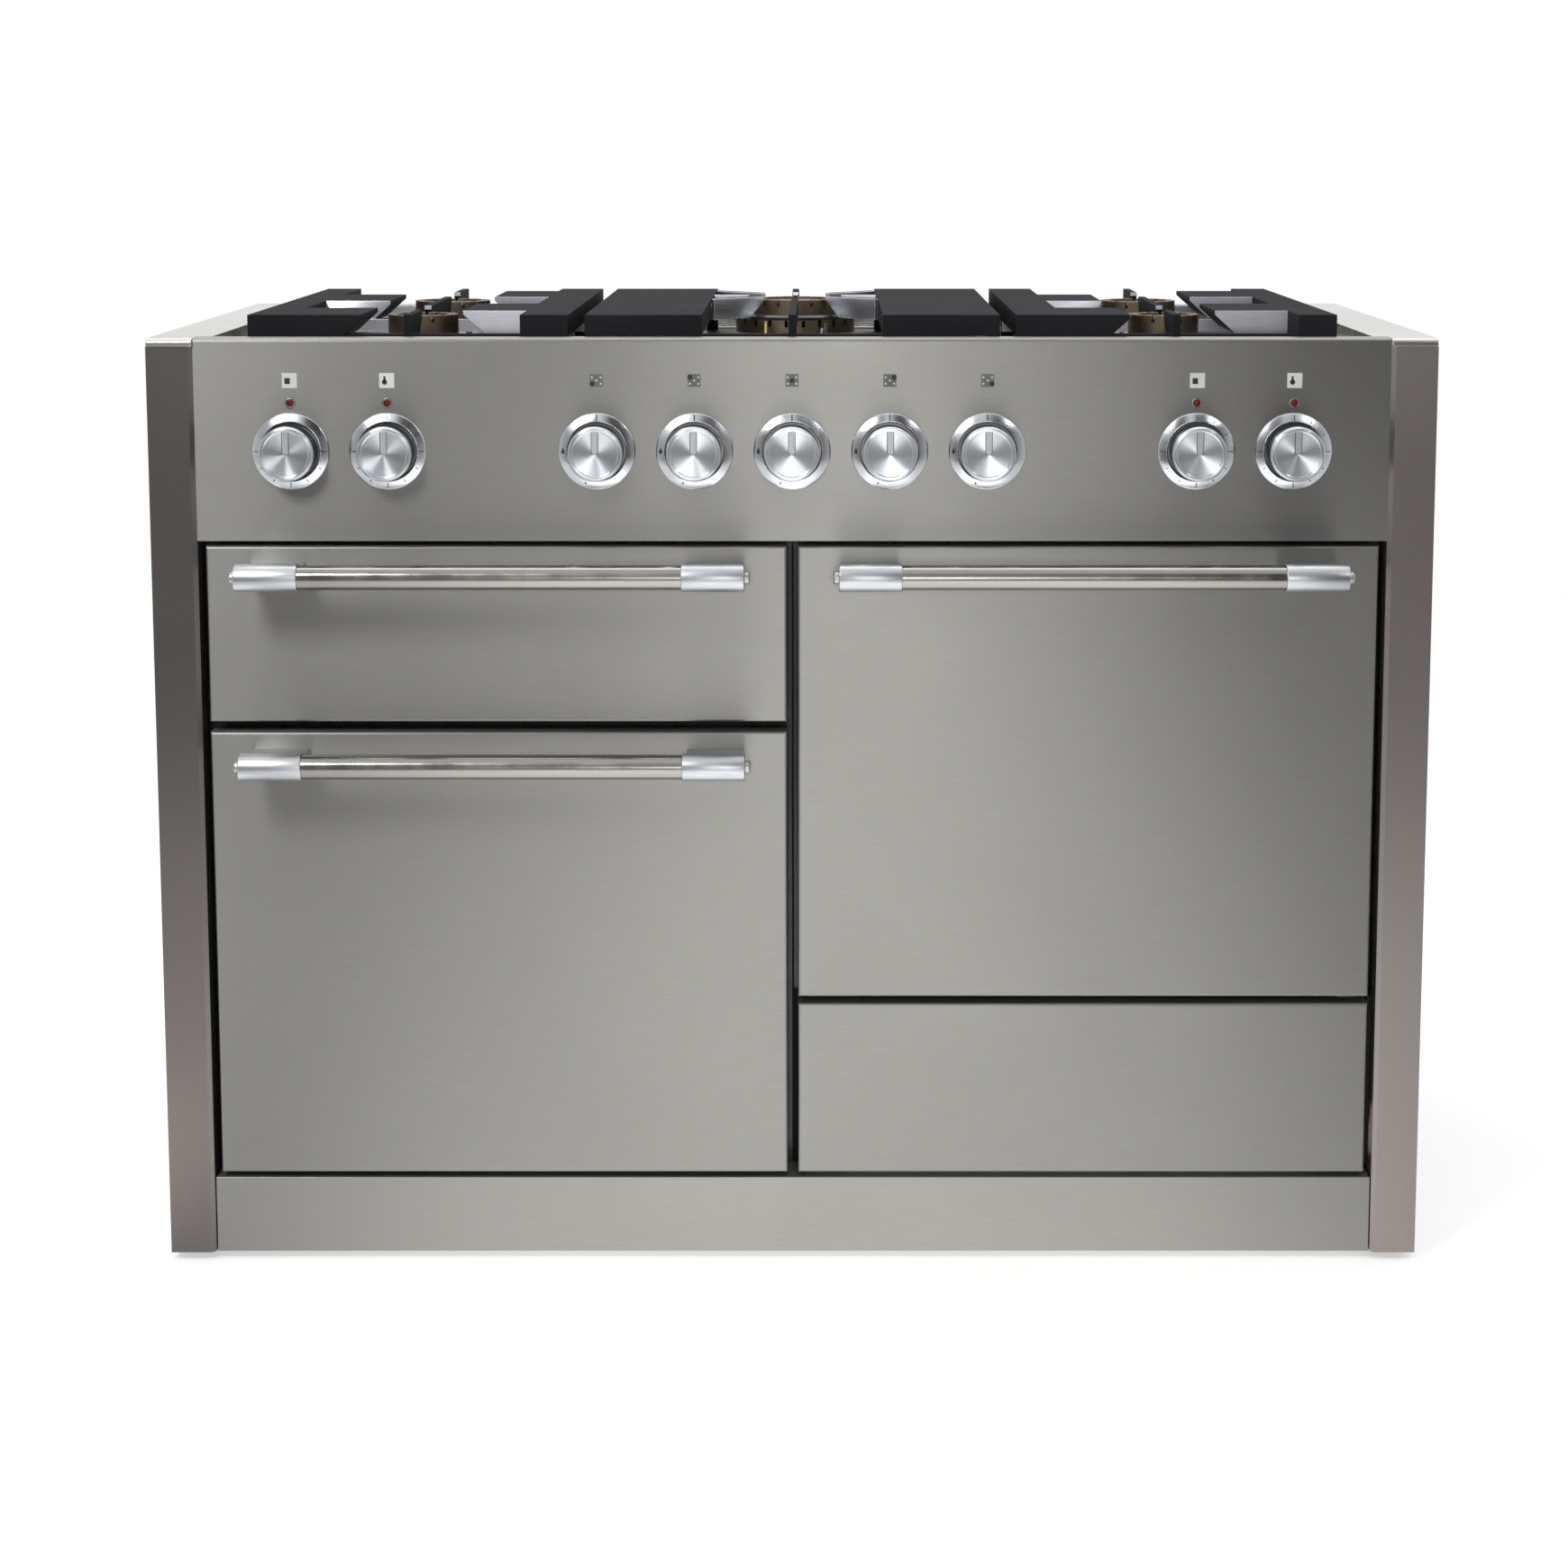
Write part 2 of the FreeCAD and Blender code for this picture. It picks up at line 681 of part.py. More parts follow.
def front_posts():
    """Folded channels, open to the back, with a bevel along the edge beside the doors."""
    posts = []
    front = "post_front"
    for side, sign in SIDES.items():
        outside = f"{sign} * side_face"
        inside = f"{sign} * post_inner"
        skin = f"{sign} * sheet_steel"
        bevel = f"{sign} * post_bevel"
        post = extruded(f"Post{side}", "XY_Plane", [
            (outside, "post_back"),
            (outside, front),
            (f"{inside} + {bevel}", front),
            (inside, f"{front} + post_bevel"),
            (inside, "post_back"),
            (f"{inside} + {skin}", "post_back"),
            (f"{inside} + {skin}", f"{front} + post_bevel + sheet_steel / 2"),
            (f"{inside} + {bevel} + {skin} / 2", f"{front} + sheet_steel"),
            (f"{outside} - {skin}", f"{front} + sheet_steel"),
            (f"{outside} - {skin}", "post_back"),
        ], "cap_bottom - foot_clearance")
        posts.append(move(post, z="(cap_bottom + foot_clearance) / 2"))
    sub_part("front_posts", group("FrontPosts", posts))


def back_panel():
    """Flat rear sheet with cooling slots and holes for the gas inlet and the cable gland."""
    y = ("back_face - 2 * sheet_steel", "back_face - sheet_steel")
    plate = block("BackPlate", ("0 - skin_inner", "skin_inner"), y, ("chassis_bottom", "tray_under"))
    deep = ("back_face - 2 * sheet_steel - cut_overrun", "back_face - sheet_steel + cut_overrun")
    slots = []
    for side, sign in SIDES.items():
        for number in range(VENT_SLOTS):
            bottom = f"vent_bottom + {number} * vent_pitch"
            slots.append(block(f"Vent{side}{number}",
                               (f"{sign} * column_middle - vent_width / 2",
                                f"{sign} * column_middle + vent_width / 2"),
                               deep, (bottom, f"{bottom} + vent_height")))
    start = "back_face - 2 * sheet_steel - cut_overrun"
    length = "sheet_steel + 2 * cut_overrun"
    for name, x, z, radius in (
        ("InletHole", "inlet_x", "rail_top - rail_height / 2", "inlet_radius"),
        ("GlandHole", "terminal_x", "terminal_floor + terminal_height / 2", "gland_radius"),
    ):
        slots.append(rod(name, "y", (x, start, z), length, radius))
    sub_part("back_panel", cut("BackPanel", plate, slots))


def plinth():
    """Bare kick strip between the posts, hooked to the chassis by its returned edges."""
    x = ("0 - post_inner + plinth_end_gap", "post_inner - plinth_end_gap")
    tray = sheet_tray("Plinth", x, ("front_face", "cavity_front"), ("foot_clearance", "plinth_top"),
                      "sheet_steel", "back")
    sub_part("plinth", tray)


def control_places():
    """Distances from the middle of the gas knobs and the oven knobs, left to right."""
    gas = [f"{step} * gas_knob_pitch" for step in (-2, -1, 0, 1, 2)]
    ovens = ["0 - oven_knob_far", "0 - oven_knob_near", "oven_knob_near", "oven_knob_far"]
    return gas, ovens


def control_fascia():
    """Folded front with a rolled top edge, pierced for spindles and lamps."""
    top_return = "front_face + fascia_return"
    bottom_return = "flange_front"
    body = extruded("Fascia", "YZ_Plane", [
        ("front_face", "fascia_bottom"),
        ("front_face", "rim"),
        (top_return, "rim"),
        (top_return, "rim - sheet_steel"),
        ("fascia_back", "rim - sheet_steel"),
        ("fascia_back", "fascia_bottom + sheet_steel"),
        (bottom_return, "fascia_bottom + sheet_steel"),
        (bottom_return, "fascia_bottom"),
    ], "2 * post_inner")
    round_top_front(body, "min(fascia_edge_radius; fascia_return - sheet_steel)", "front_face")
    gas, ovens = control_places()
    start = "front_face - cut_overrun"
    length = "sheet_steel + 2 * cut_overrun"
    holes = [
        rod(f"SpindleHole{number}", "y", (x, start, "control_line"), length, "spindle_hole_radius")
        for number, x in enumerate(gas + ovens)
    ]
    holes += [
        rod(f"LampHole{number}", "y", (x, start, "control_line + lamp_rise"), length, "lamp_radius")
        for number, x in enumerate(ovens)
    ]
    sub_part("control_fascia", cut("ControlFascia", body, holes))


# Hob


def burner_places():
    """Every burner: name, place, radius of its crown and number of its teeth."""
    side_burners = [
        (f"{row}{side}", f"{sign} * burner_x", y, radius)
        for side, sign in SIDES.items()
        for row, y, radius in (
            ("Front", "burner_front_y", "front_burner_radius"),
            ("Back", "burner_back_y", "back_burner_radius"),
        )
    ]
    return side_burners + [("Wok", "0", "wok_y", "wok_radius")]


def hob_tray():
    """Pressed steel top: a recess for the burners inside a level rim, capped over the posts."""
    recess_x = "side_face - strip_width"
    recess_y = ("front_face + tray_front", "back_face - tray_back")
    slab = block("HobSlab", ("0 - side_face", "side_face"),
                 ("front_face + fascia_return", "back_face"), ("tray_under", "rim"))
    caps = []
    for side, sign in SIDES.items():
        cap = extruded(f"PostCap{side}", "YZ_Plane", [
            ("post_front", "cap_bottom"),
            ("post_front", "rim"),
            ("front_face + fascia_return", "rim"),
            ("front_face + fascia_return", "cap_bottom"),
        ], "post_width")
        round_top_front(cap, "min(cap_radius; cap_height)", "post_front")
        caps.append(move(cap, f"{sign} * (post_inner + side_face) / 2"))
    cutters = [block("HobRecess", (f"0 - ({recess_x})", recess_x), recess_y,
                     ("tray_floor", "rim + cut_overrun"))]
    under = ("tray_under - cut_overrun", "rim - sheet_steel")
    for side, sign in SIDES.items():
        strip_x = mirror_span(sign, f"{recess_x} + sheet_steel", "skin_inner")
        cutters.append(block(f"StripUnder{side}", strip_x,
                             ("front_face + fascia_return + sheet_steel", "back_face - sheet_steel"), under))
        cutters.append(block(f"FrontUnder{side}", mirror_span(sign, "post_inner", "side_face + cut_overrun"),
                             ("front_face + fascia_return - cut_overrun", "post_back"),
                             ("tray_under - cut_overrun", "cap_bottom")))
        cutters.append(block(f"RearUnder{side}",
                             mirror_span(sign, "side_face - panel_return", "side_face + cut_overrun"),
                             ("back_face - 2 * sheet_steel", "back_face + cut_overrun"),
                             ("tray_under - cut_overrun", "cap_bottom")))
        cutters.append(block(f"SkirtUnder{side}",
                             mirror_span(sign, "skin_inner - sheet_steel", "side_face + cut_overrun"),
                             ("front_face + fascia_return - cut_overrun", "back_face + cut_overrun"),
                             ("tray_under - cut_overrun", "cap_bottom")))
    cutters.append(block("BackUnder", (f"0 - ({recess_x})", recess_x),
                         ("back_face - tray_back + sheet_steel", "back_face - sheet_steel"), under))
    for name, x, y, _ in burner_places():
        cutters.append(rod(f"CupHole{name}", "z", (x, y, "tray_under - cut_overrun"),
                           "tray_drop", "burner_cup_radius"))
    sub_part("hob_tray", cut("HobTray", fuse("HobSheet", [slab] + caps), cutters))


def burner_bases():
    """Aluminium cups that drop through the tray, with a spark electrode beside each crown."""
    pieces = []
    turn = QUARTER_TURN / 4
    for name, x, y, radius in burner_places():
        top = "wok_top" if name == "Wok" else "burner_top"
        cup = turned(f"Cup{name}", "z", [
            ("0", "tray_floor - burner_cup_depth"),
            ("burner_cup_radius", "tray_floor - burner_cup_depth"),
            ("burner_cup_radius", "tray_floor"),
            (f"{radius} + burner_skirt", "tray_floor"),
            (f"{radius} + burner_skirt", "tray_floor + burner_skirt_rim"),
            (radius, top),
            ("0", top),
        ])
        pieces.append(move(cup, x, y))
        away = f"({radius} + burner_skirt + igniter_gap)"
        foot = (f"{x} + {away} * sin({turn} deg)", f"{y} - {away} * cos({turn} deg)", "tray_floor")
        pieces.append(rod(f"Electrode{name}", "z", foot, "burner_base_height", "igniter_radius"))
    sub_part("burner_bases", group("BurnerBases", pieces))


def toothed_ring(name, x, y, z, radius, teeth):
    """A crown: a ring whose upper edge is cut into teeth, where the flames come out."""
    bottom, top = z
    inside = f"{radius} - crown_wall"
    ring = turned(name, "z", [(inside, bottom), (radius, bottom), (radius, top), (inside, top)])
    slot = (f"{inside} - cut_overrun", f"{radius} + cut_overrun")
    polar_cut(ring, "XZ_Plane", [
        (slot[0], f"{top} - tooth_height"),
        (slot[1], f"{top} - tooth_height"),
        (slot[1], f"{top} + cut_overrun"),
        (slot[0], f"{top} + cut_overrun"),
    ], "tooth_gap", teeth)
    return move(ring, x, y)


def burner_crowns():
    rings = []
    for name, x, y, radius in burner_places():
        if name != "Wok":
            z = ("burner_top", "crown_top")
            rings.append(toothed_ring(f"Crown{name}", x, y, z, radius, SMALL_CROWN_TEETH))
    rings.append(toothed_ring("CrownWok", "0", "wok_y", ("wok_top", "wok_ring_top"), "wok_radius", WOK_TEETH))
    rings.append(toothed_ring("CrownWokInner", "0", "wok_y", ("wok_ring_top", "wok_ring_top + crown_height"),
                              "wok_inner_radius", SMALL_CROWN_TEETH))
    sub_part("burner_crowns", group("BurnerCrowns", rings))


def plug_profile(radius, bottom):
    """The section of an enamelled cap that stands inside a crown, just below its teeth."""
    outer = f"{radius} - crown_wall - slide_clearance"
    top = f"{bottom} + crown_height - burner_cap_drop"
    return [
        ("0", bottom),
        (outer, bottom),
        (outer, f"{top} - burner_cap_bevel"),
        (f"{outer} - burner_cap_bevel", top),
        ("0", top),
    ]


def burner_caps():
    caps = []
    for name, x, y, radius in burner_places():
        if name != "Wok":
            caps.append(move(turned(f"Cap{name}", "z", plug_profile(radius, "burner_top")), x, y))
    inner = "wok_inner_radius + slide_clearance"
    outer = "wok_radius - burner_cap_inset"
    top = "wok_ring_top + burner_cap_height"
    ring = turned("CapWokRing", "z", [
        (inner, "wok_ring_top"),
        (outer, "wok_ring_top"),
        (outer, f"{top} - burner_cap_bevel"),
        (f"{outer} - burner_cap_bevel", top),
        (inner, top),
    ])
    lid = turned("CapWok", "z", plug_profile("wok_inner_radius", "wok_ring_top"))
    caps += [move(ring, y="wok_y"), move(lid, y="wok_y")]
    sub_part("burner_caps", group("BurnerCaps", caps))


def finger(name, x, y, turn, length, width="finger_width"):
    """A prong or wing from its root towards a burner, level on top and slanted under its tip."""
    prong = extruded(name, "XZ_Plane", [
        ("0", "support_top - finger_height"),
        (f"{length} - finger_slant", "support_top - finger_height"),
        (length, "support_top - finger_tip_height"),
        (length, "support_top"),
        ("0", "support_top"),
    ], width)
    prong.Placement = Placement(Vector(), Rotation(Vector(0, 0, 1), turn))
    return move(prong, x, y)


def support_bar(name, x, y):
    """A cross bar of a pan support, set below the resting plane."""
    top = "support_top - support_bar_drop"
    return block(name, x, y, (f"{top} - support_bar_height", top))


def support_feet(name, columns, rows):
    """Feet that stand on the tray."""
    return [
        block(f"{name}Foot{column}{row}", (f"{x} - support_foot / 2", f"{x} + support_foot / 2"),
              (f"{y} - support_foot / 2", f"{y} + support_foot / 2"),
              ("tray_floor", "support_top - support_band_height / 2"))
        for column, x in enumerate(columns)
        for row, y in enumerate(rows)
    ]


def side_support(side, sign):
    """Two bands joined by bars, with a thin prong before and behind each burner.

    Broad wings reach in from the bands: on the left-hand side they lie ahead of the burner's
    middle, and on the right-hand side they reach past it. Both castings have the same hand.
    """
    name = f"Support{side}"
    rows = ("support_start", "support_end")
    band_z = ("support_top - support_band_height", "support_top")
    inner_edge = "support_inner + support_inner_band"
    outer_edge = "support_outer - support_outer_band"
    whole = mirror_span(sign, "support_inner", "support_outer")
    bar = "support_bar_width"
    pieces = [
        block(name + "InnerBand", mirror_span(sign, "support_inner", inner_edge), rows, band_z),
        block(name + "OuterBand", mirror_span(sign, outer_edge, "support_outer"), rows, band_z),
        support_bar(name + "FrontBar", whole, (rows[0], f"{rows[0]} + {bar}")),
        support_bar(name + "BackBar", whole, (f"{rows[1]} - {bar}", rows[1])),
        support_bar(name + "MiddleBar", whole,
                    (f"support_middle - {bar} / 2", f"support_middle + {bar} / 2")),
    ]
    centre = f"{sign} * burner_x"
    low_edge, high_edge = mirror_span(sign, inner_edge, outer_edge)
    for row, place, radius, ahead, behind in (
        ("Front", "burner_front_y", "front_burner_radius", rows[0], "support_middle"),
        ("Back", "burner_back_y", "back_burner_radius", "support_middle", rows[1]),
    ):
        clear = f"({radius} + finger_gap)"
        wing_clear = f"({radius} + wing_gap)"
        pieces += [
            finger(f"{name}{row}Ahead", centre, ahead, QUARTER_TURN, f"{place} - {clear} - {ahead}"),
            finger(f"{name}{row}Behind", centre, behind, -QUARTER_TURN, f"{behind} - {clear} - {place}"),
            finger(f"{name}{row}LeftWing", low_edge, f"({ahead} + {place}) / 2", 0,
                   f"{centre} - {wing_clear} - ({low_edge})", f"{place} - {ahead}"),
            finger(f"{name}{row}RightWing", high_edge, f"{place} + (wing_lag - wing_lead) / 2", HALF_TURN,
                   f"{high_edge} - {wing_clear} - ({centre})", "wing_lead + wing_lag"),
        ]
    inset = "support_foot / 2"
    columns = (f"{sign} * (support_inner + {inset})", f"{sign} * (support_outer - {inset})")
    pieces += support_feet(name, columns, (f"{rows[0]} + {inset}", "support_middle", f"{rows[1]} - {inset}"))
    sub_part(f"pan_support_{side}", fuse(name, pieces))


def centre_support():
    """Two broad panels either side of the wok burner, joined by bars front and back."""
    rows = ("support_start", "support_end")
    band_z = ("support_top - support_band_height", "support_top")
    opening = ("0 - centre_panel_inner", "centre_panel_inner")
    bar = "support_bar_width"
    clear = "(wok_inner_radius + finger_gap)"
    pieces = [
        support_bar("CentreFrontBar", opening, (rows[0], f"{rows[0]} + {bar}")),
        support_bar("CentreBackBar", opening, (f"{rows[1]} - {bar}", rows[1])),
        finger("CentreAhead", "0", rows[0], QUARTER_TURN, f"wok_y - {clear} - {rows[0]}"),
        finger("CentreBehind", "0", rows[1], -QUARTER_TURN, f"{rows[1]} - {clear} - wok_y"),
    ]
    inset = "support_foot / 2"
    for side, sign in SIDES.items():
        edge = f"{sign} * centre_panel_inner"
        inward = HALF_TURN if sign > 0 else 0
        span = mirror_span(sign, "centre_panel_inner", "centre_panel_outer")
        pieces.append(block(f"CentrePanel{side}", span, rows, band_z))
        pieces.append(finger(f"CentreSide{side}", edge, "wok_y", inward, f"centre_panel_inner - {clear}"))
        for row, lean in (("Ahead", -1), ("Behind", 1)):
            pieces.append(finger(f"CentreDiagonal{row}{side}", edge, f"wok_y + {lean} * centre_panel_inner",
                                 inward + sign * lean * DIAGONAL_TURN,
                                 f"centre_panel_inner / cos({DIAGONAL_TURN} deg) - {clear}"))
        columns = (f"{sign} * (centre_panel_outer - {inset})", f"{sign} * (centre_panel_inner + {inset})")
        pieces += support_feet(f"Centre{side}", columns, (f"{rows[0]} + {inset}", f"{rows[1]} - {inset}"))
    sub_part("pan_support_centre", fuse("SupportCentre", pieces))


# Ovens and grill compartment


def open_box(name, sign, y_back, z, flange_z):
    """A sheet box, open to the front, with a flange that faces the door."""
    inner = "column_middle - cavity_width / 2"
    outer = "column_middle + cavity_width / 2"
    shell = block(name + "Shell", mirror_span(sign, f"{inner} - sheet_steel", f"{outer} + sheet_steel"),
                  ("flange_front", f"{y_back} + sheet_steel"),
                  (f"{z[0]} - sheet_steel", f"{z[1]} + sheet_steel"))
    flange = block(name + "Flange", mirror_span(sign, "flange_gap", "skin_inner"),
                   ("flange_front", "cavity_front"), flange_z)
    hollow = block(name + "Hollow", mirror_span(sign, inner, outer),
                   ("flange_front - cut_overrun", y_back), z)
    return fuse(name + "Sheet", [shell, flange]), hollow


def fan_centre(sign, cavity_bottom):
    return f"{sign} * column_middle", f"{cavity_bottom} + cavity_height / 2"


OVENS = {
    "left": (-1, "left_cavity_bottom", ("plinth_top", "left_flange_top")),
    "right": (1, "right_cavity_bottom", ("right_flange_bottom", "flange_top")),
}


def oven_liners():
    """Enamelled cavities, each with a hole in its back for the fan shaft."""
    for side, (sign, bottom, flange_z) in OVENS.items():
        name = f"Oven{side}"
        z_span = (bottom, f"{bottom} + cavity_height")
        sheet_box, hollow = open_box(name, sign, "cavity_back", z_span, flange_z)
        x, z = fan_centre(sign, bottom)
        hole = rod(name + "ShaftHole", "y", (x, "cavity_back - cut_overrun", z),
                   "sheet_steel + 2 * cut_overrun", "2 * fan_shaft_radius")
        sub_part(f"oven_liner_{side}", cut(name, sheet_box, [hollow, hole]))


def grill_liner():
    z = ("grill_cavity_bottom", "grill_cavity_bottom + grill_cavity_height")
    sheet_box, hollow = open_box("GrillBox", -1, "grill_cavity_back", z, ("left_flange_top", "flange_top"))
    sub_part("grill_liner", cut("GrillLiner", sheet_box, [hollow]))


def insulation():
    """Mineral-wool jackets round the two ovens."""
    jackets = []
    inner = "column_middle - cavity_width / 2 - sheet_steel"
    outer = "column_middle + cavity_width / 2 + sheet_steel"
    for side, (sign, bottom, _) in OVENS.items():
        low = f"{bottom} - sheet_steel"
        high = f"{bottom} + cavity_height + sheet_steel"
        wool = block(f"Wool{side}", mirror_span(sign, f"{inner} - insulation / 2", f"{outer} + insulation"),
                     ("cavity_front + frame_tube", "insulation_back"),
                     (f"{low} - insulation", f"{high} + insulation"))
        hollow = block(f"WoolHollow{side}", mirror_span(sign, inner, outer),
                       ("cavity_front", "liner_back"), (low, high))
        x, z = fan_centre(sign, bottom)
        hole = rod(f"WoolHole{side}", "y", (x, "liner_back - cut_overrun", z),
                   "insulation + 2 * cut_overrun", "2 * fan_shaft_radius")
        jackets.append(cut(f"Jacket{side}", wool, [hollow, hole]))
    sub_part("insulation_jackets", group("InsulationJackets", jackets))


def door_seals():
    """Soft square rings round the oven mouths, pressed by the door liners."""
    rings = []
    inner = "column_middle - cavity_width / 2"
    outer = "column_middle + cavity_width / 2"
    y = ("door_back + slide_clearance", "flange_front")
    deep = ("door_back - cut_overrun", "flange_front + cut_overrun")
    for side, (sign, bottom, _) in OVENS.items():
        top = f"{bottom} + cavity_height"
        ring = block(f"Seal{side}", mirror_span(sign, f"{inner} - seal_width", f"{outer} + seal_width"), y,
                     (f"{bottom} - seal_width", f"{top} + seal_width"))
        mouth = block(f"SealMouth{side}", mirror_span(sign, inner, outer), deep, (bottom, top))
        rings.append(cut(f"SealRing{side}", ring, [mouth]))
    sub_part("door_seals", group("DoorSeals", rings))


def wire_ladder(name, sign, edge, inward, bottom):
    """Upright wires with pairs of rungs, hung on a cavity wall."""
    wall_x = f"{sign} * ({edge}) + {inward} * wire_radius"
    front = "cavity_front + 3 * rack_front_gap"
    back = "cavity_back - baffle_depth - 2 * rack_front_gap"
    wires = [
        flat_bar(f"{name}Upright{number}", "z", (wall_x, y, f"{bottom} + ladder_rise / 2"),
                 f"{LADDER_STEPS} * ladder_pitch", "wire_radius")
        for number, y in enumerate((front, back))
    ]
    for step in range(LADDER_STEPS):
        start = (f"{wall_x} + {inward} * wire_radius", f"{front} - rack_front_gap",
                 f"{bottom} + ladder_rise + {step} * ladder_pitch")
        wires.append(flat_bar(f"{name}Rung{step}", "y", start,
                              f"{back} - ({front}) + 2 * rack_front_gap", "wire_radius"))
    return fuse(name, wires)


def wire_rack(name, sign, height):
    """A wire shelf: three rails across and thin wires welded on top of them."""
    reach = "cavity_width / 2 - 2 * wire_radius"
    middle = f"{sign} * column_middle"
    front = "cavity_front + rack_front_gap"
    length = "cavity_depth - baffle_depth - 2 * rack_front_gap"
    low = f"{height} + 2 * wire_radius + slide_clearance"
    left = f"{middle} - ({reach})"
    wires = [
        flat_bar(f"{name}Rail{number}", "x", (left, y, low), f"2 * ({reach})", "wire_radius")
        for number, y in enumerate((front, f"{front} + ({length}) / 2", f"{front} + ({length})"))
    ]
    for wire in range(RACK_WIRES):
        place_share = 2 * wire / (RACK_WIRES - 1) - 1
        x = f"{middle} + {place_share} * (({reach}) - 2 * wire_radius)"
        start = (x, f"{front} - wire_radius", f"{low} + wire_radius")
        wires.append(flat_bar(f"{name}Wire{wire}", "y", start, f"{length} + 2 * wire_radius", "wire_radius"))
    return fuse(name, wires)


def oven_racks():
    """Two shelves in each oven, resting on ladders at the cavity sides."""
    pieces = []
    inner = "column_middle - cavity_width / 2"
    outer = "column_middle + cavity_width / 2"
    for side, (sign, bottom, _) in OVENS.items():
        pieces.append(wire_ladder(f"LadderInner{side}", sign, inner, sign, bottom))
        pieces.append(wire_ladder(f"LadderOuter{side}", sign, outer, -sign, bottom))
        for number in range(RACKS_PER_OVEN):
            height = f"{bottom} + ladder_rise + {number * 2} * ladder_pitch"
            pieces.append(wire_rack(f"Rack{side}{number}", sign, height))
    sub_part("oven_racks", group("OvenRacks", pieces))


def fan_baffles():
    """Pressed covers in front of the fans, with a ring of intake holes."""
    covers = []
    for side, (sign, bottom, _) in OVENS.items():
        name = f"Baffle{side}"
        x, z = fan_centre(sign, bottom)
        cover = sheet_tray(name + "Cover", (f"{x} - baffle_width / 2", f"{x} + baffle_width / 2"),
                           ("cavity_back - baffle_depth", "cavity_back"),
                           (f"{z} - baffle_height / 2", f"{z} + baffle_height / 2"), "sheet_steel", "back")
        start = "cavity_back - baffle_depth - cut_overrun"
        length = "sheet_steel + 2 * cut_overrun"
        holes = [rod(name + "Hole", "y", (x, start, z), length, "baffle_hole_radius")]
        for number in range(BAFFLE_HOLES):
            turn = FULL_TURN * number / BAFFLE_HOLES
            holes.append(rod(f"{name}Hole{number}", "y",
                             (f"{x} + baffle_ring_radius * cos({turn} deg)", start,
                              f"{z} + baffle_ring_radius * sin({turn} deg)"), length, "baffle_hole_radius"))
        covers.append(cut(name, cover, holes))
    sub_part("fan_baffles", group("FanBaffles", covers))


def oven_fans():
    """Radial fans on shafts that reach back into their motors, carried behind the jackets."""
    motors = []
    for side, (sign, bottom, _) in OVENS.items():
        x, z = fan_centre(sign, bottom)
        plate_front = "cavity_back - fan_plate - 2 * slide_clearance - sheet_steel"
        shaft_end = "insulation_back + slide_clearance + fan_shaft_grip"
        wheel = turned(f"Fan{side}", "y", [
            ("0", f"{plate_front} - fan_hub_depth"),
            ("fan_hub_radius", f"{plate_front} - fan_hub_depth"),
            ("fan_hub_radius", plate_front),
            ("fan_radius", plate_front),
            ("fan_radius", f"{plate_front} + fan_plate"),
            ("fan_shaft_radius", f"{plate_front} + fan_plate"),
            ("fan_shaft_radius", shaft_end),
            ("0", shaft_end),
        ])
        blades = [
            block(f"Blade{side}{number}", ("fan_radius - fan_blade_length", "fan_radius"),
                  (f"{plate_front} - fan_blade_depth", plate_front), ("0 - fan_plate / 2", "fan_plate / 2"))
            for number in range(FAN_BLADES)
        ]
        for number, blade in enumerate(blades):
            turn = FULL_TURN * number / FAN_BLADES
            lean = Rotation(Vector(0, 1, 0), turn)
            blade.Placement = Placement(Vector(), lean)
            blade.setExpression("Placement.Base.x", formula(
                f"(fan_radius - fan_blade_length) * cos({turn} deg) - fan_plate / 2 * sin({turn} deg)"))
            blade.setExpression("Placement.Base.y", formula(f"{plate_front} - fan_blade_depth"))
            blade.setExpression("Placement.Base.z", formula(
                f"0 - (fan_radius - fan_blade_length) * sin({turn} deg) - fan_plate / 2 * cos({turn} deg)"))
        fan = fuse(f"FanWheel{side}", [wheel] + blades)
        sub_part(f"oven_fan_{side}", move(fan, x, z=z))
        motor = rod(f"Motor{side}", "y", (x, "insulation_back", z), "motor_depth", "motor_radius")
        bore = rod(f"MotorBore{side}", "y", (x, "insulation_back - cut_overrun", z),
                   "cut_overrun + fan_shaft_grip + 2 * slide_clearance", "fan_shaft_radius + slide_clearance")
        motors.append(cut(f"MotorBody{side}", motor, [bore]))
    sub_part("fan_motors", group("FanMotors", motors))


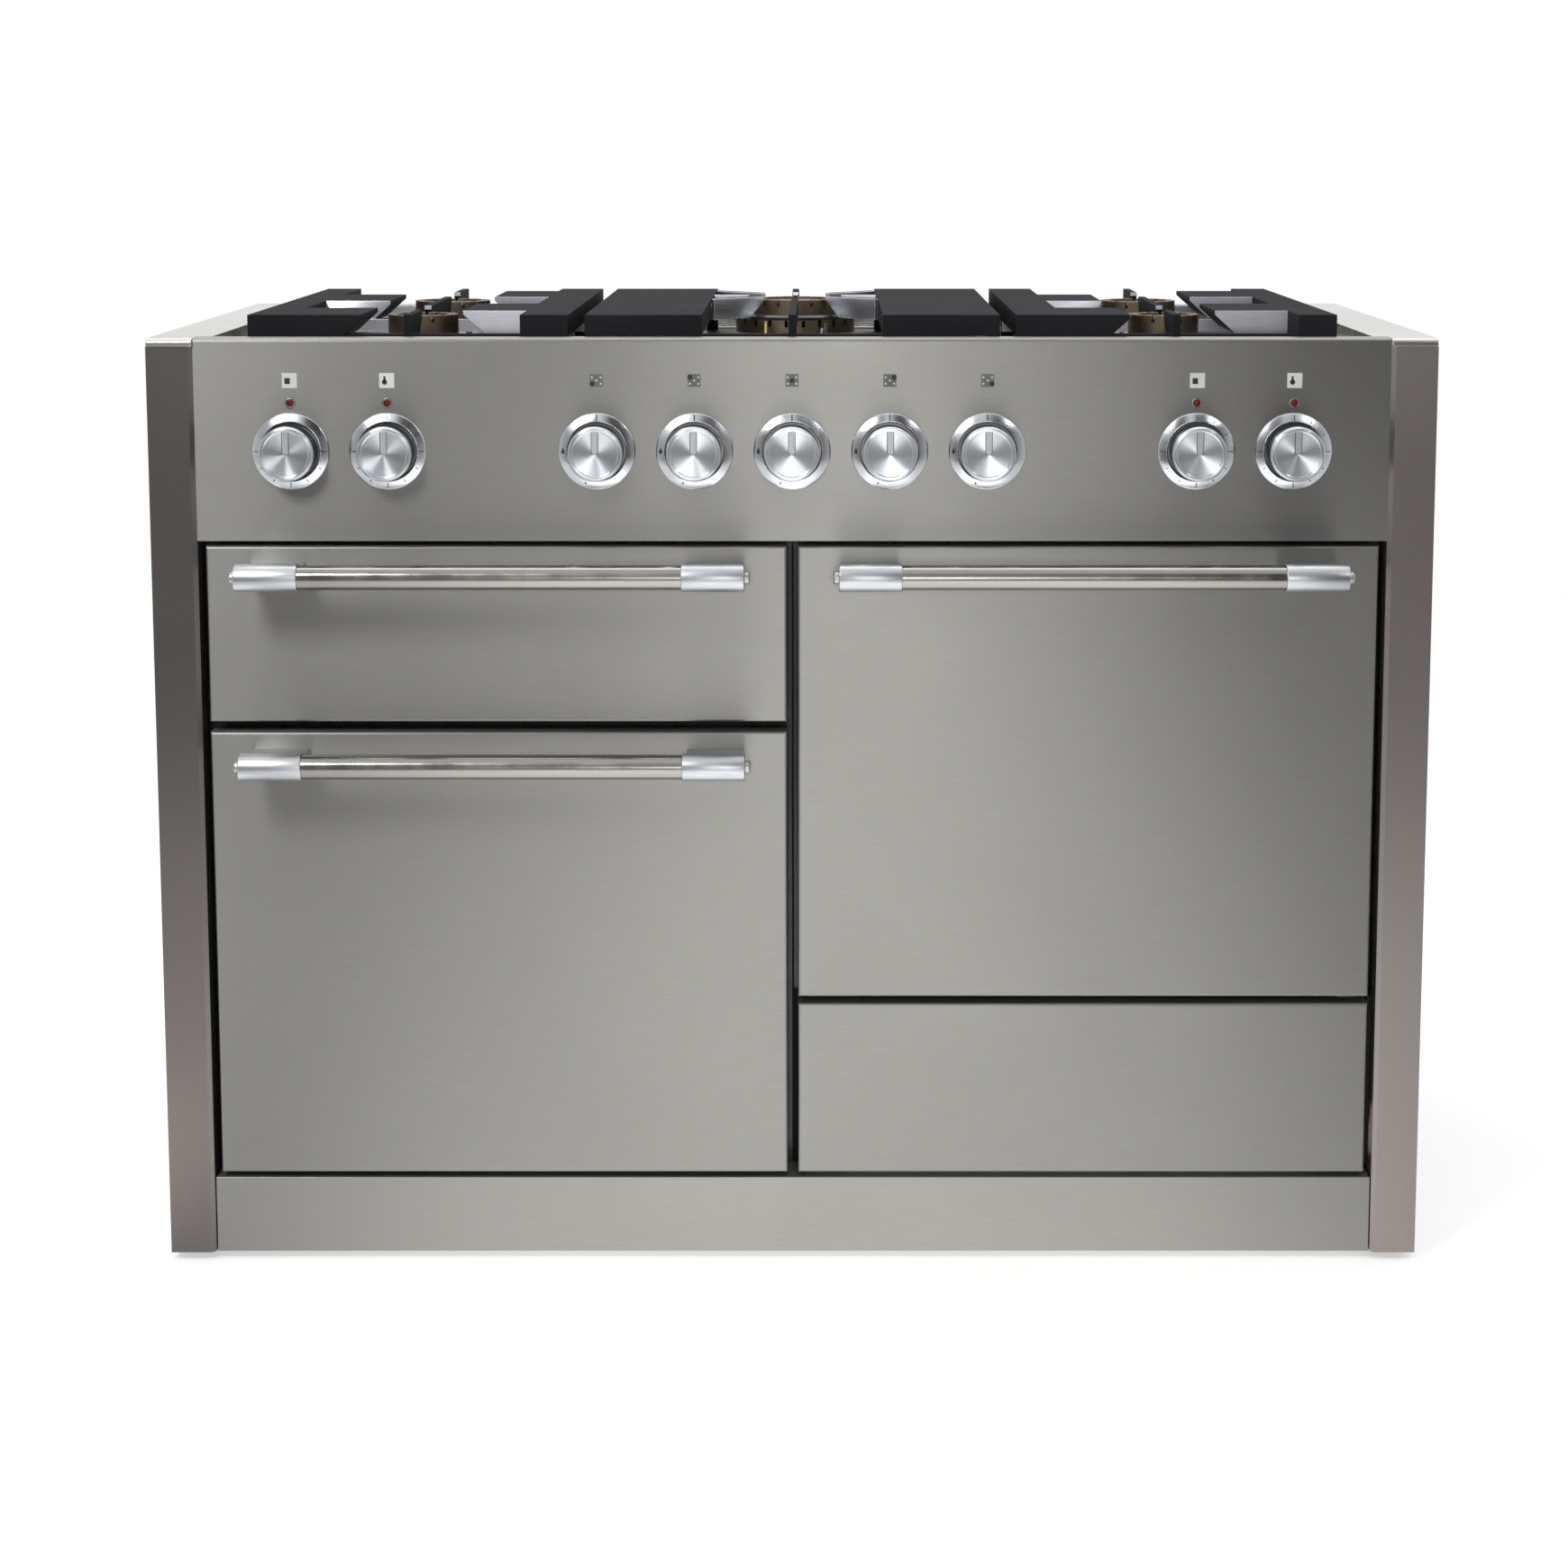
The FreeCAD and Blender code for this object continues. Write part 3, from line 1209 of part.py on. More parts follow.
def heating_elements():
    """A ring round each fan and a long serpentine under the grill roof."""
    pieces = []
    for side, (sign, bottom, _) in OVENS.items():
        x, z = fan_centre(sign, bottom)
        y = "cavity_back - baffle_depth / 2"
        ring = turned(f"RingElement{side}", "y", flat_section("ring_element_radius", y, "element_radius"))
        move(ring, x, z=z)
        tails = [
            flat_bar(f"RingTail{side}{end}", "y",
                     (f"{x} + {end} * 2 * element_radius", y, f"{z} + ring_element_radius"),
                     "baffle_depth / 2", "element_radius")
            for end in (-1, 1)
        ]
        pieces.append(fuse(f"FanElement{side}", [ring] + tails))
    roof = "grill_cavity_bottom + grill_cavity_height - grill_element_drop"
    width = "(cavity_width - 2 * grill_element_side_gap)"
    pitch = f"{width} / {GRILL_ELEMENT_RUNS - 1}"
    depth = "grill_element_back - grill_element_front"
    runs = []
    for number in range(GRILL_ELEMENT_RUNS):
        x = f"0 - column_middle - {width} / 2 + {number} * {pitch}"
        outer_run = number in (0, GRILL_ELEMENT_RUNS - 1)
        length = f"{depth} + grill_element_rear_gap" if outer_run else depth
        start = (x, "grill_element_front", roof)
        runs.append(flat_bar(f"GrillRun{number}", "y", start, length, "element_radius"))
        if number < GRILL_ELEMENT_RUNS - 1:
            at_front = number % 2 == 0
            section = flat_section(f"{pitch} / 2", "0", "element_radius")
            bend = turned(f"GrillBend{number}", "z", section, HALF_TURN)
            bend.Placement = Placement(Vector(), Rotation(Vector(0, 0, 1), HALF_TURN if at_front else 0))
            y = "grill_element_front" if at_front else "grill_element_back"
            runs.append(move(bend, f"{x} + {pitch} / 2", y, roof))
    pieces.append(fuse("GrillElement", runs))
    sub_part("heating_elements", group("HeatingElements", pieces))


# Doors


def handle(name, label, x, top):
    """A round bar between two end pieces, each on a flat arm from the face behind."""
    y = "front_face - handle_reach + handle_end_radius"
    z = f"{top} - handle_drop"
    left = f"{x} - handle_length / 2"
    bar = rod(name + "Bar", "x", (f"{left} + handle_end_length", y, z),
              "handle_length - 2 * handle_end_length", "handle_bar_radius")
    pieces = [bar]
    for number, start in enumerate((left, f"{left} + handle_length - handle_end_length")):
        sleeve = turned(f"{name}Sleeve{number}", "z", [
            ("0", "0"),
            ("handle_end_radius - handle_end_chamfer", "0"),
            ("handle_end_radius", "handle_end_chamfer"),
            ("handle_end_radius", "handle_end_length - handle_end_chamfer"),
            ("handle_end_radius - handle_end_chamfer", "handle_end_length"),
            ("0", "handle_end_length"),
        ])
        sleeve.Placement = Placement(Vector(), ALONG["x"])
        move(sleeve, start, y, z)
        arm = block(
            f"{name}Arm{number}",
            (f"{start} + handle_arm_gap", f"{start} + handle_end_length - handle_arm_gap"),
            (y, "front_face"),
            (f"{z} - handle_arm_thickness / 2", f"{z} + handle_arm_thickness / 2"),
        )
        pieces.append(fuse(f"{name}End{number}", [sleeve, arm]))
    sub_part(label, group(name, pieces))


def front_skin(name, x, z):
    """A folded front: a flat face with softened edges and four returned sides, open behind."""
    width = f"({x[1]}) - ({x[0]})"
    height = f"({z[1]}) - ({z[0]})"
    same = places.rim * SAME_PLACE_SHARE
    depth = places.door_split - places.front_face
    skin = document.addObject("PartDesign::Body", name)

    def rectangle(inset):
        across = f"(({width}) / 2 - {inset})"
        up = f"(({height}) / 2 - {inset})"
        return [(f"0 - {across}", f"0 - {up}"), (across, f"0 - {up}"), (across, up), (f"0 - {across}", up)]

    pad = skin.newObject("PartDesign::Pad", name + "Pad")
    pad.Profile = outline(skin, "XZ_Plane", rectangle("0"))
    bind(pad, Length="door_skin_depth")
    round_edges(skin, "door_edge_radius", lambda edge: edge.CenterOfMass.y < same - depth)
    pocket = skin.newObject("PartDesign::Pocket", name + "Hollow")
    pocket.Profile = outline(skin, "XZ_Plane", rectangle("sheet_steel"))
    pocket.Reversed = True
    bind(pocket, Length="door_skin_depth - sheet_steel")
    return move(skin, f"(({x[0]}) + ({x[1]})) / 2", "door_split", f"(({z[0]}) + ({z[1]})) / 2")


def oven_door(side, sign, bottom, top):
    """A drop-down door: outer skin, inner liner with two hinge arms, and a handle."""
    x = mirror_span(sign, "door_inner", "door_outer")
    sub_part(f"door_{side}_panel", front_skin(f"Door{side}Skin", x, (bottom, top)))
    liner_x = (f"{x[0]} + door_liner_margin", f"{x[1]} - door_liner_margin")
    liner_z = (f"{bottom} + door_liner_margin", f"{top} - door_liner_margin")
    liner_y = ("fascia_back", "door_back")
    liner = sheet_tray(f"Door{side}Liner", liner_x, liner_y, liner_z, "sheet_steel", "front")
    pieces = [liner]
    axis_y = "front_face + hinge_setback"
    axis_z = f"{bottom} + hinge_rise"
    for number, start in enumerate((f"{x[0]} + hinge_inset", f"{x[1]} - hinge_inset - hinge_arm_width")):
        arm = block(f"Door{side}Arm{number}", (start, f"{start} + hinge_arm_width"),
                    ("fascia_back", "door_back - sheet_steel"),
                    (f"{axis_z} - hinge_arm_height / 2", f"{axis_z} + hinge_arm_height / 2"))
        pin = rod(f"Door{side}Pin{number}", "x", (f"{start} - hinge_arm_width / 2", axis_y, axis_z),
                  "2 * hinge_arm_width", "hinge_pin_radius")
        pieces.append(fuse(f"Door{side}Hinge{number}", [arm, pin]))
    sub_part(f"door_{side}_liner", group(f"Door{side}Inner", pieces))
    handle(f"Door{side}Handle", f"door_{side}_handle", f"{sign} * column_middle", top)


# Glide-out grill


def grill_runner_x(level):
    """The spans of x of one layer of the two telescopic runners, wall side first."""
    wall = "cavity_width / 2"
    layers = {
        "fixed": (f"{wall} - runner_width", wall),
        "bar": (f"{wall} - runner_width - runner_split - runner_groove + slide_clearance",
                f"{wall} - runner_width + runner_groove - slide_clearance"),
        "inner": (f"{wall} - runner_reach", f"{wall} - runner_width - runner_split"),
    }
    low, high = layers[level]
    middle = "0 - column_middle"
    return [(f"{middle} + ({low})", f"{middle} + ({high})"), (f"{middle} - ({high})", f"{middle} - ({low})")]


def grooved_runner(name, x, groove_x):
    """A channel whose groove takes the sliding bar."""
    z = ("runner_middle - runner_height / 2", "runner_middle + runner_height / 2")
    groove_z = ("runner_middle - runner_bar_height / 2 - slide_clearance",
                "runner_middle + runner_bar_height / 2 + slide_clearance")
    channel = block(name + "Channel", x, ("cavity_front", "runner_back"), z)
    groove = block(name + "Groove", groove_x,
                   ("cavity_front - cut_overrun", "runner_back + cut_overrun"), groove_z)
    return cut(name, channel, [groove])


def grill_runners():
    """The sliding middle members, and a list of the channels fixed to the cavity walls."""
    bars = [
        block(f"MidRunner{number}", x, ("cavity_front", "runner_back"),
              ("runner_middle - runner_bar_height / 2", "runner_middle + runner_bar_height / 2"))
        for number, x in enumerate(grill_runner_x("bar"))
    ]
    sub_part("grill_mid_runners", group("MidRunners", bars))
    fixed = []
    for number, x in enumerate(grill_runner_x("fixed")):
        groove = (x[0], f"{x[0]} + runner_groove") if number == 0 else (f"{x[1]} - runner_groove", x[1])
        fixed.append(grooved_runner(f"FixedRunner{number}", x, groove))
    return fixed


def grill_carriage():
    """The inner runners, a rear cross member and side ledges that hold the pan."""
    y_front = "door_back"
    y_back = "runner_back"
    pieces = []
    right_runner, left_runner = grill_runner_x("inner")
    for number, x in enumerate((right_runner, left_runner)):
        groove = (f"{x[1]} - runner_groove", x[1]) if number == 0 else (x[0], f"{x[0]} + runner_groove")
        pieces.append(grooved_runner(f"InnerRunner{number}", x, groove))
        ledge_x = (f"{x[0]} - pan_margin", x[1]) if number == 0 else (x[0], f"{x[1]} + pan_margin")
        pieces.append(block(f"Ledge{number}", ledge_x, ("cavity_front", y_back),
                            ("carriage_floor - carriage_plate", "carriage_floor")))
    z = ("carriage_floor - carriage_plate", "carriage_floor + carriage_rail_height")
    between = (left_runner[1], right_runner[0])
    pieces.append(block("CarriageBack", between, (f"{y_back} - carriage_plate", y_back), z))
    pieces.append(block("CarriageFront", (left_runner[0], right_runner[1]), (y_front, "cavity_front"), z))
    sub_part("grill_carriage", fuse("GrillCarriage", pieces))


def grill_pan():
    """An enamelled pan with a rolled lip on the ledges, and a wire trivet standing in it."""
    middle = "0 - column_middle"
    reach = "cavity_width / 2 - runner_reach - pan_margin - slide_clearance"
    lip_reach = f"{reach} + pan_margin - slide_clearance"
    lip_z = ("carriage_floor", "carriage_floor + sheet_steel")
    x = (f"{middle} - ({reach})", f"{middle} + ({reach})")
    y = ("pan_front", "pan_back")
    z = ("carriage_floor - pan_height", "carriage_floor + sheet_steel")
    hollow = block("PanHollow", (f"{x[0]} + sheet_steel", f"{x[1]} - sheet_steel"),
                   (f"{y[0]} + sheet_steel", f"{y[1]} - sheet_steel"),
                   (f"{z[0]} + sheet_steel", f"{z[1]} + cut_overrun"))
    lip = block("PanLip", (f"{middle} - ({lip_reach})", f"{middle} + ({lip_reach})"), y, lip_z)
    pan = cut("Pan", fuse("PanShell", [block("PanWall", x, y, z), lip]), [hollow])
    bar_z = f"{z[0]} + trivet_height"
    start = "pan_front + trivet_margin"
    depth = "(pan_back - pan_front - 2 * trivet_margin)"
    low_x = f"{middle} - ({reach}) + trivet_margin"
    span = f"2 * ({reach}) - 2 * trivet_margin"
    ends = (start, f"{start} + {depth}")
    wires = [
        flat_bar(f"TrivetRail{number}", "x", (low_x, y_rail, bar_z), span, "wire_radius")
        for number, y_rail in enumerate(ends)
    ]
    for wire in range(TRIVET_BARS):
        place_share = wire / (TRIVET_BARS - 1)
        x_bar = f"{low_x} + 2 * wire_radius + {place_share} * ({span} - 4 * wire_radius)"
        end = (x_bar, f"{start} - wire_radius", f"{bar_z} + wire_radius")
        wires.append(flat_bar(f"TrivetBar{wire}", "y", end, f"{depth} + 2 * wire_radius", "wire_radius"))
    for column, place in enumerate(("wire_radius", f"{span} - wire_radius")):
        for row, y_rail in enumerate(ends):
            wires.append(flat_bar(f"TrivetLeg{column}{row}", "z",
                                  (f"{low_x} + {place}", y_rail, f"{z[0]} + sheet_steel"),
                                  "trivet_height - sheet_steel", "wire_radius"))
    sub_part("grill_pan", group("GrillPan", [pan, fuse("Trivet", wires)]))


def grill_drawer():
    x = mirror_span(-1, "door_inner", "door_outer")
    skin = front_skin("GrillSkin", x, ("grill_bottom", "front_top"))
    margin = "door_liner_margin"
    backing_x = (f"{x[0]} + {margin}", f"{x[1]} - {margin}")
    backing_z = (f"grill_bottom + {margin}", f"front_top - {margin}")
    backing_y = ("fascia_back", "door_back")
    backing = sheet_tray("GrillBacking", backing_x, backing_y, backing_z, "sheet_steel", "front")
    sub_part("grill_front", group("GrillFront", [skin, backing]))
    handle("GrillHandle", "grill_handle", "0 - column_middle", "front_top")
    grill_carriage()
    grill_pan()


# Storage drawer


def storage_drawer():
    """A handle-less front on a sheet box with a rib along each side."""
    x = mirror_span(1, "door_inner", "door_outer")
    sub_part("drawer_front", front_skin("DrawerSkin", x, ("front_bottom", "drawer_top")))
    box_x = ("column_middle - drawer_box_side", "column_middle + drawer_box_side")
    box = sheet_tray("DrawerTub", box_x, ("fascia_back", "drawer_back"),
                     ("drawer_floor", "drawer_floor + drawer_box_height"), "sheet_steel", "top")
    rib_z = ("front_bottom + drawer_rib_rise", "front_bottom + drawer_rib_rise + drawer_rib_height")
    ribs = [
        block(f"DrawerRib{number}", x_rib, ("cavity_front", "drawer_back"), rib_z)
        for number, x_rib in enumerate((
            (f"{box_x[0]} - drawer_rib_width", box_x[0]),
            (box_x[1], f"{box_x[1]} + drawer_rib_width"),
        ))
    ]
    sub_part("drawer_box", fuse("DrawerBox", [box] + ribs))


def drawer_channels():
    """Grooved channels beside the drawer, fixed to the chassis uprights."""
    middle = "front_bottom + drawer_rib_rise + drawer_rib_height / 2"
    z = (f"{middle} - drawer_runner_height / 2", f"{middle} + drawer_runner_height / 2")
    groove_z = (f"{middle} - drawer_rib_height / 2 - slide_clearance",
                f"{middle} + drawer_rib_height / 2 + slide_clearance")
    spans = (
        ("frame_tube / 2", "column_middle - drawer_box_side - slide_clearance"),
        ("column_middle + drawer_box_side + slide_clearance", "frame_inner"),
    )
    grooves = (
        ("column_middle - drawer_box_side - drawer_rib_width - slide_clearance",
         "column_middle - drawer_box_side"),
        ("column_middle + drawer_box_side",
         "column_middle + drawer_box_side + drawer_rib_width + slide_clearance"),
    )
    channels = []
    for number, (x, groove_x) in enumerate(zip(spans, grooves)):
        channel = block(f"DrawerChannel{number}", x, ("cavity_front", "frame_back"), z)
        groove = block(f"DrawerGroove{number}", groove_x,
                       ("cavity_front - cut_overrun", "frame_back + cut_overrun"), groove_z)
        channels.append(cut(f"DrawerRunner{number}", channel, [groove]))
    return channels


# Controls


def knob_bezels():
    """Polished rings round every knob, seated on the fascia."""
    gas, ovens = control_places()
    rings = []
    for number, x in enumerate(gas + ovens):
        ring = turned(f"Bezel{number}", "y", [
            ("bezel_inner_radius", "0"),
            ("bezel_radius", "0"),
            ("bezel_radius", "bezel_bevel - bezel_height"),
            ("bezel_radius - bezel_bevel", "0 - bezel_height"),
            ("bezel_inner_radius", "0 - bezel_height"),
        ])
        rings.append(move(ring, x, "front_face", "control_line"))
    sub_part("knob_bezels", group("KnobBezels", rings))


def knob(name, x):
    """A turned knob with a bevelled rim and a shallow dished face."""
    body = turned(name, "y", [
        ("0", "knob_back"),
        ("knob_radius", "knob_back"),
        ("knob_radius", "knob_front + knob_bevel"),
        ("knob_radius - knob_bevel", "knob_front"),
        ("knob_dish_radius", "knob_front"),
        ("0", "knob_front + knob_dish"),
    ])
    return move(body, x, z="control_line")


def controls():
    """Knobs with their spindles, the turning cones inside the taps, switches and lamps."""
    gas, ovens = control_places()
    for number, x in enumerate(gas, start=1):
        spindle = rod(f"GasSpindle{number}", "y", (x, "knob_back", "control_line"),
                      "cone_front + spindle_engagement - knob_back", "spindle_radius")
        sub_part(f"gas_knob_{number}", group(f"GasKnob{number}", [knob(f"GasKnobCap{number}", x), spindle]))
        cone = rod(f"Cone{number}", "y", (x, "cone_front", "control_line"), "cone_length", "cone_radius")
        socket = rod(f"ConeSocket{number}", "y", (x, "cone_front - cut_overrun", "control_line"),
                     "cut_overrun + cone_socket_depth", "spindle_radius + slide_clearance")
        sub_part(f"tap_cone_{number}", cut(f"TapCone{number}", cone, [socket]))
    names = [f"oven_knob_{side}_{use}" for side in SIDES for use in ("function", "heat")]
    switches = []
    lamps = []
    for number, (label, x) in enumerate(zip(names, ovens), start=1):
        spindle = rod(f"OvenSpindle{number}", "y", (x, "knob_back", "control_line"),
                      "fascia_back + switch_depth / 2 - knob_back", "spindle_radius")
        sub_part(label, group(f"OvenKnob{number}", [knob(f"OvenKnobCap{number}", x), spindle]))
        case = block(f"SwitchCase{number}", (f"{x} - switch_width / 2", f"{x} + switch_width / 2"),
                     ("fascia_back", "fascia_back + switch_depth"),
                     ("control_line - switch_width / 2", "control_line + switch_width / 2"))
        bore = rod(f"SwitchBore{number}", "y", (x, "fascia_back - cut_overrun", "control_line"),
                   "cut_overrun + switch_depth / 2 + slide_clearance", "spindle_radius + slide_clearance")
        switches.append(cut(f"Switch{number}", case, [bore]))
        lamp_z = "control_line + lamp_rise"
        collar = rod(f"LampCollar{number}", "y", (x, "front_face - lamp_collar_height", lamp_z),
                     "lamp_collar_height", "lamp_collar_radius")
        barrel = rod(f"LampBarrel{number}", "y", (x, "front_face", lamp_z), "lamp_depth", "lamp_radius")
        lamps.append(fuse(f"Lamp{number}", [collar, barrel]))
    sub_part("oven_switches", group("OvenSwitches", switches))
    sub_part("indicator_lamps", group("IndicatorLamps", lamps))


# Gas supply


def gas_tap(number, x):
    """A tap body on the rail, with a boss to the fascia and a bore for its cone."""
    name = f"Tap{number}"
    case = block(name + "Case", (f"{x} - tap_width / 2", f"{x} + tap_width / 2"), ("tap_front", "tap_back"),
                 ("rail_top", "rail_top + tap_width"))
    boss = rod(name + "Boss", "y", (x, "fascia_back", "control_line"), "tap_boss_length", "tap_boss_radius")
    neck = rod(name + "Neck", "y", (x, "fascia_back - cut_overrun", "control_line"),
               "tap_boss_length + 2 * cut_overrun", "spindle_radius + 2 * slide_clearance")
    bore = rod(name + "Bore", "y", (x, "cone_front - slide_clearance", "control_line"),
               "cone_length + 2 * slide_clearance", "cone_radius + slide_clearance")
    return cut(name, fuse(name + "Casting", [case, boss]), [neck, bore])


def burner_pipe(number, x_from, x_to, y_to):
    """A pipe from the back of a tap, along to its burner and up into the cup."""
    rise = "tray_floor - burner_cup_depth - control_line"
    name = f"Pipe{number}"
    runs = [
        flat_bar(name + "Back", "y", (x_from, "tap_back", "control_line"),
                 f"{y_to} + pipe_radius - tap_back", "pipe_radius"),
        flat_bar(name + "Rise", "z", (x_to, y_to, "control_line - pipe_radius"),
                 f"{rise} + pipe_radius", "pipe_radius"),
    ]
    if x_from != x_to:
        low, high = (x_to, x_from) if x_from.startswith("-") else (x_from, x_to)
        runs.append(flat_bar(name + "Across", "x", (f"{low} - pipe_radius", y_to, "control_line"),
                             f"{high} - ({low}) + 2 * pipe_radius", "pipe_radius"))
    return fuse(name, runs)


def gas_rail():
    """A square manifold under the taps, five burner pipes and the supply pipe from the back."""
    gas, _ = control_places()
    pieces = [gas_tap(number, x) for number, x in enumerate(gas, start=1)]
    end = "2 * gas_knob_pitch + rail_margin"
    z = ("rail_top - rail_height", "rail_top")
    y = ("tap_front", "tap_front + rail_height")
    manifold = block("Manifold", (f"0 - ({end})", "inlet_x + rail_height / 2"), y, z)
    supply = rod("SupplyPipe", "y", ("inlet_x", "tap_front + rail_height / 2", "rail_top - rail_height / 2"),
                 "back_face - inlet_length - tap_front - rail_height / 2", "supply_pipe_radius")
    pieces.append(fuse("RailAndSupply", [manifold, supply]))
    routes = (
        (1, gas[0], "-1 * burner_x", "burner_front_y"),
        (2, gas[1], "-1 * burner_x", "burner_back_y"),
        (3, gas[2], gas[2], "wok_y"),
        (4, gas[3], "1 * burner_x", "burner_back_y"),
        (5, gas[4], "1 * burner_x", "burner_front_y"),
    )
    pieces += [burner_pipe(*route) for route in routes]
    sub_part("gas_rail", group("GasRail", pieces))
    inlet = rod("Inlet", "y", ("inlet_x", "back_face - inlet_length", "rail_top - rail_height / 2"),
                "inlet_length", "inlet_radius")
    bore = rod("InletBore", "y", ("inlet_x", "back_face - inlet_bore_length", "rail_top - rail_height / 2"),
               "inlet_bore_length + cut_overrun", "inlet_bore_radius")
    sub_part("gas_inlet", cut("GasInlet", inlet, [bore]))


def terminal_box():
    """The mains box low on the back, with a gland for a supply cable."""
    box = block("TerminalCase", ("terminal_x - terminal_width / 2", "terminal_x + terminal_width / 2"),
                ("frame_back - terminal_depth", "frame_back"),
                ("terminal_floor", "terminal_floor + terminal_height"))
    z = "terminal_floor + terminal_height / 2"
    gland = rod("Gland", "y", ("terminal_x", "back_face - gland_length", z), "gland_length", "gland_radius")
    bore = rod("GlandBore", "y", ("terminal_x", "back_face - gland_length", z),
               "gland_length + cut_overrun", "gland_bore_radius")
    sub_part("terminal_box", cut("TerminalBox", fuse("TerminalBody", [box, gland]), [bore]))


def build():
    base_frame()
    levelling_feet()
    side_panels()
    front_posts()
    back_panel()
    plinth()
    control_fascia()
    hob_tray()
    burner_bases()
    burner_crowns()
    burner_caps()
    for side, sign in SIDES.items():
        side_support(side, sign)
    centre_support()
    oven_liners()
    grill_liner()
    insulation()
    door_seals()
    oven_racks()
    fan_baffles()
    oven_fans()
    heating_elements()
    oven_door("left", -1, "front_bottom", "left_door_top")
    oven_door("right", 1, "right_door_bottom", "front_top")
    grill_drawer()
    storage_drawer()
    sub_part("runner_channels", group("RunnerChannels", grill_runners() + drawer_channels()))
    knob_bezels()
    controls()
    gas_rail()
    terminal_box()


def check():
    """Stop on any object that failed and on any sub-part without a sound shape."""
    for thing in document.Objects:
        if "Invalid" in thing.State or "Error" in thing.State:
            raise SystemExit(f"{thing.Label} did not recompute: {thing.State}")
    for thing in sub_parts:
        if thing.Shape.isNull() or not thing.Shape.isValid() or not thing.Shape.Solids:
            raise SystemExit(f"{thing.Label} has no sound shape")


build()
document.recompute()
check()
os.makedirs("parts", exist_ok=True)
for thing in sub_parts:
    thing.Shape.exportStep(f"parts/{thing.Label}.step")
print(len(sub_parts), "sub-parts written")
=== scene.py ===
"""Looks of a free-standing range cooker: brushed steel, turned controls, handles and hob details."""
import json
import math

import bmesh
import bpy
from mathutils import Matrix, Vector


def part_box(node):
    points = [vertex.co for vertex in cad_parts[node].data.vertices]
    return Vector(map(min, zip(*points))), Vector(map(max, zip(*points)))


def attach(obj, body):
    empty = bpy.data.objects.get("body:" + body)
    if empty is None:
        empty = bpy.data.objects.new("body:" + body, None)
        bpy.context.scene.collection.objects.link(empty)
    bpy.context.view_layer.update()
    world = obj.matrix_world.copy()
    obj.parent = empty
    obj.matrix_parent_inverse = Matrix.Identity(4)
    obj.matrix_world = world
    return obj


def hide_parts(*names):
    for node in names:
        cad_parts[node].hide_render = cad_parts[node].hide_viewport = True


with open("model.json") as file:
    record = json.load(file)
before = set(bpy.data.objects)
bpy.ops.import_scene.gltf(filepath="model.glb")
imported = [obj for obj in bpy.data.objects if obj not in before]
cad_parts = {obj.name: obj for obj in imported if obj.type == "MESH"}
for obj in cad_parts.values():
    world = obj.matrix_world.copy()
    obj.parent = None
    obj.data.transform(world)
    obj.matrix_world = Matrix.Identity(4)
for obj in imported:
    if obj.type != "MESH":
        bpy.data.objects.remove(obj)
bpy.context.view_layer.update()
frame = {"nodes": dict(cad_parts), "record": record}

NODES = frame["nodes"]
MM = 0.001
FULL_TURN = 2 * math.pi
TINY = 1e-7

ELECTRIC_KNOBS = ("oven_knob_left_function", "oven_knob_left_heat",
                  "oven_knob_right_function", "oven_knob_right_heat")
GAS_KNOBS = tuple(f"gas_knob_{number}" for number in range(1, 6))
HANDLES = {
    "grill_handle": "grill_drawer",
    "door_left_handle": "door_left",
    "door_right_handle": "door_right",
}
# Where the fascia's front lies, along Y
CONTROL_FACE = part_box("control_fascia")[0][1]

# The camera, close to where the photograph was taken from
CAMERA_PLACE = (0.02565, -3.22097, 1.08042)
CAMERA_PITCH = math.radians(8.03)
CAMERA_LENS = 73.13
CAMERA_SHIFT = (-0.0227, -0.13)

# Studio lamps: name, place, point aimed at, width and height, all in metres, and power in watts
STUDIO_LAMPS = (
    ("key", (-1.3, -2.5, 2.4), (0, 0, 0.5), (0.8, 0.8), 30),
    ("side", (1.6, -2.2, 2.2), (0, 0, 0.7), (0.4, 0.4), 5),
    ("front", (0.12, -4.6, 1.1), (0, 0, 0.6), (0.7, 0.9), 12.5),
    ("top", (0.0, 0.3, 2.5), (0, 0.1, 0.9), (2.2, 0.9), 16),
)

# What reflections see in front, from left to right: the X of a ray's direction and a grey level
FRONT_TONES = (
    (-0.95, 0.8), (-0.5, 0.06), (-0.16, 0.09), (0, 0.85), (0.14, 0.02), (0.5, 0.02), (0.85, 0.7),
)
# Where the white back and ceiling start and are full, as the Y and Z of a ray's direction
BACK_EDGE = (-0.3, 0.2)
CEILING_EDGE = (0.55, 0.95)
WHITE = (1.0, 1.0, 1.0)
WORLD_GREY = (0.6, 0.6, 0.6)

# The floor: how far it reaches, in metres from the middle, its paint and its glow to the camera
FLOOR_FRONT = 2.2
FLOOR_REACH = 2.6
FLOOR_TONES = ((0.78, 0.78, 0.78), (0.81, 0.81, 0.81))
FLOOR_GLOW = 0.5
# The bright patch that reflections see on the floor, and a small one near the left post:
# where their edges start and end, in metres from the middle, and the glow
PATCH_LEFT = (-0.75, -0.2)
PATCH_RIGHT = (0.35, 0.85)
NEAR_LEFT = (-1.1, -0.85)
NEAR_RIGHT = (-0.75, -0.55)
NEAR_FRONT = (-1.0, -0.65)
PATCH_GLOW = 1.0

# Fineness of round forms, and the angles that tell edges from curves
ROUND_SEGMENTS = 64
SMALL_SEGMENTS = 32
SLIM_SEGMENTS = 24
HEXAGON = 6
EDGE_SEGMENTS = 2
SMOOTH_ANGLE = math.radians(35)
BEVEL_ANGLE = math.radians(40)
FLAT_ANGLE = math.radians(0.5)
WELD_DISTANCE = 0.005 * MM

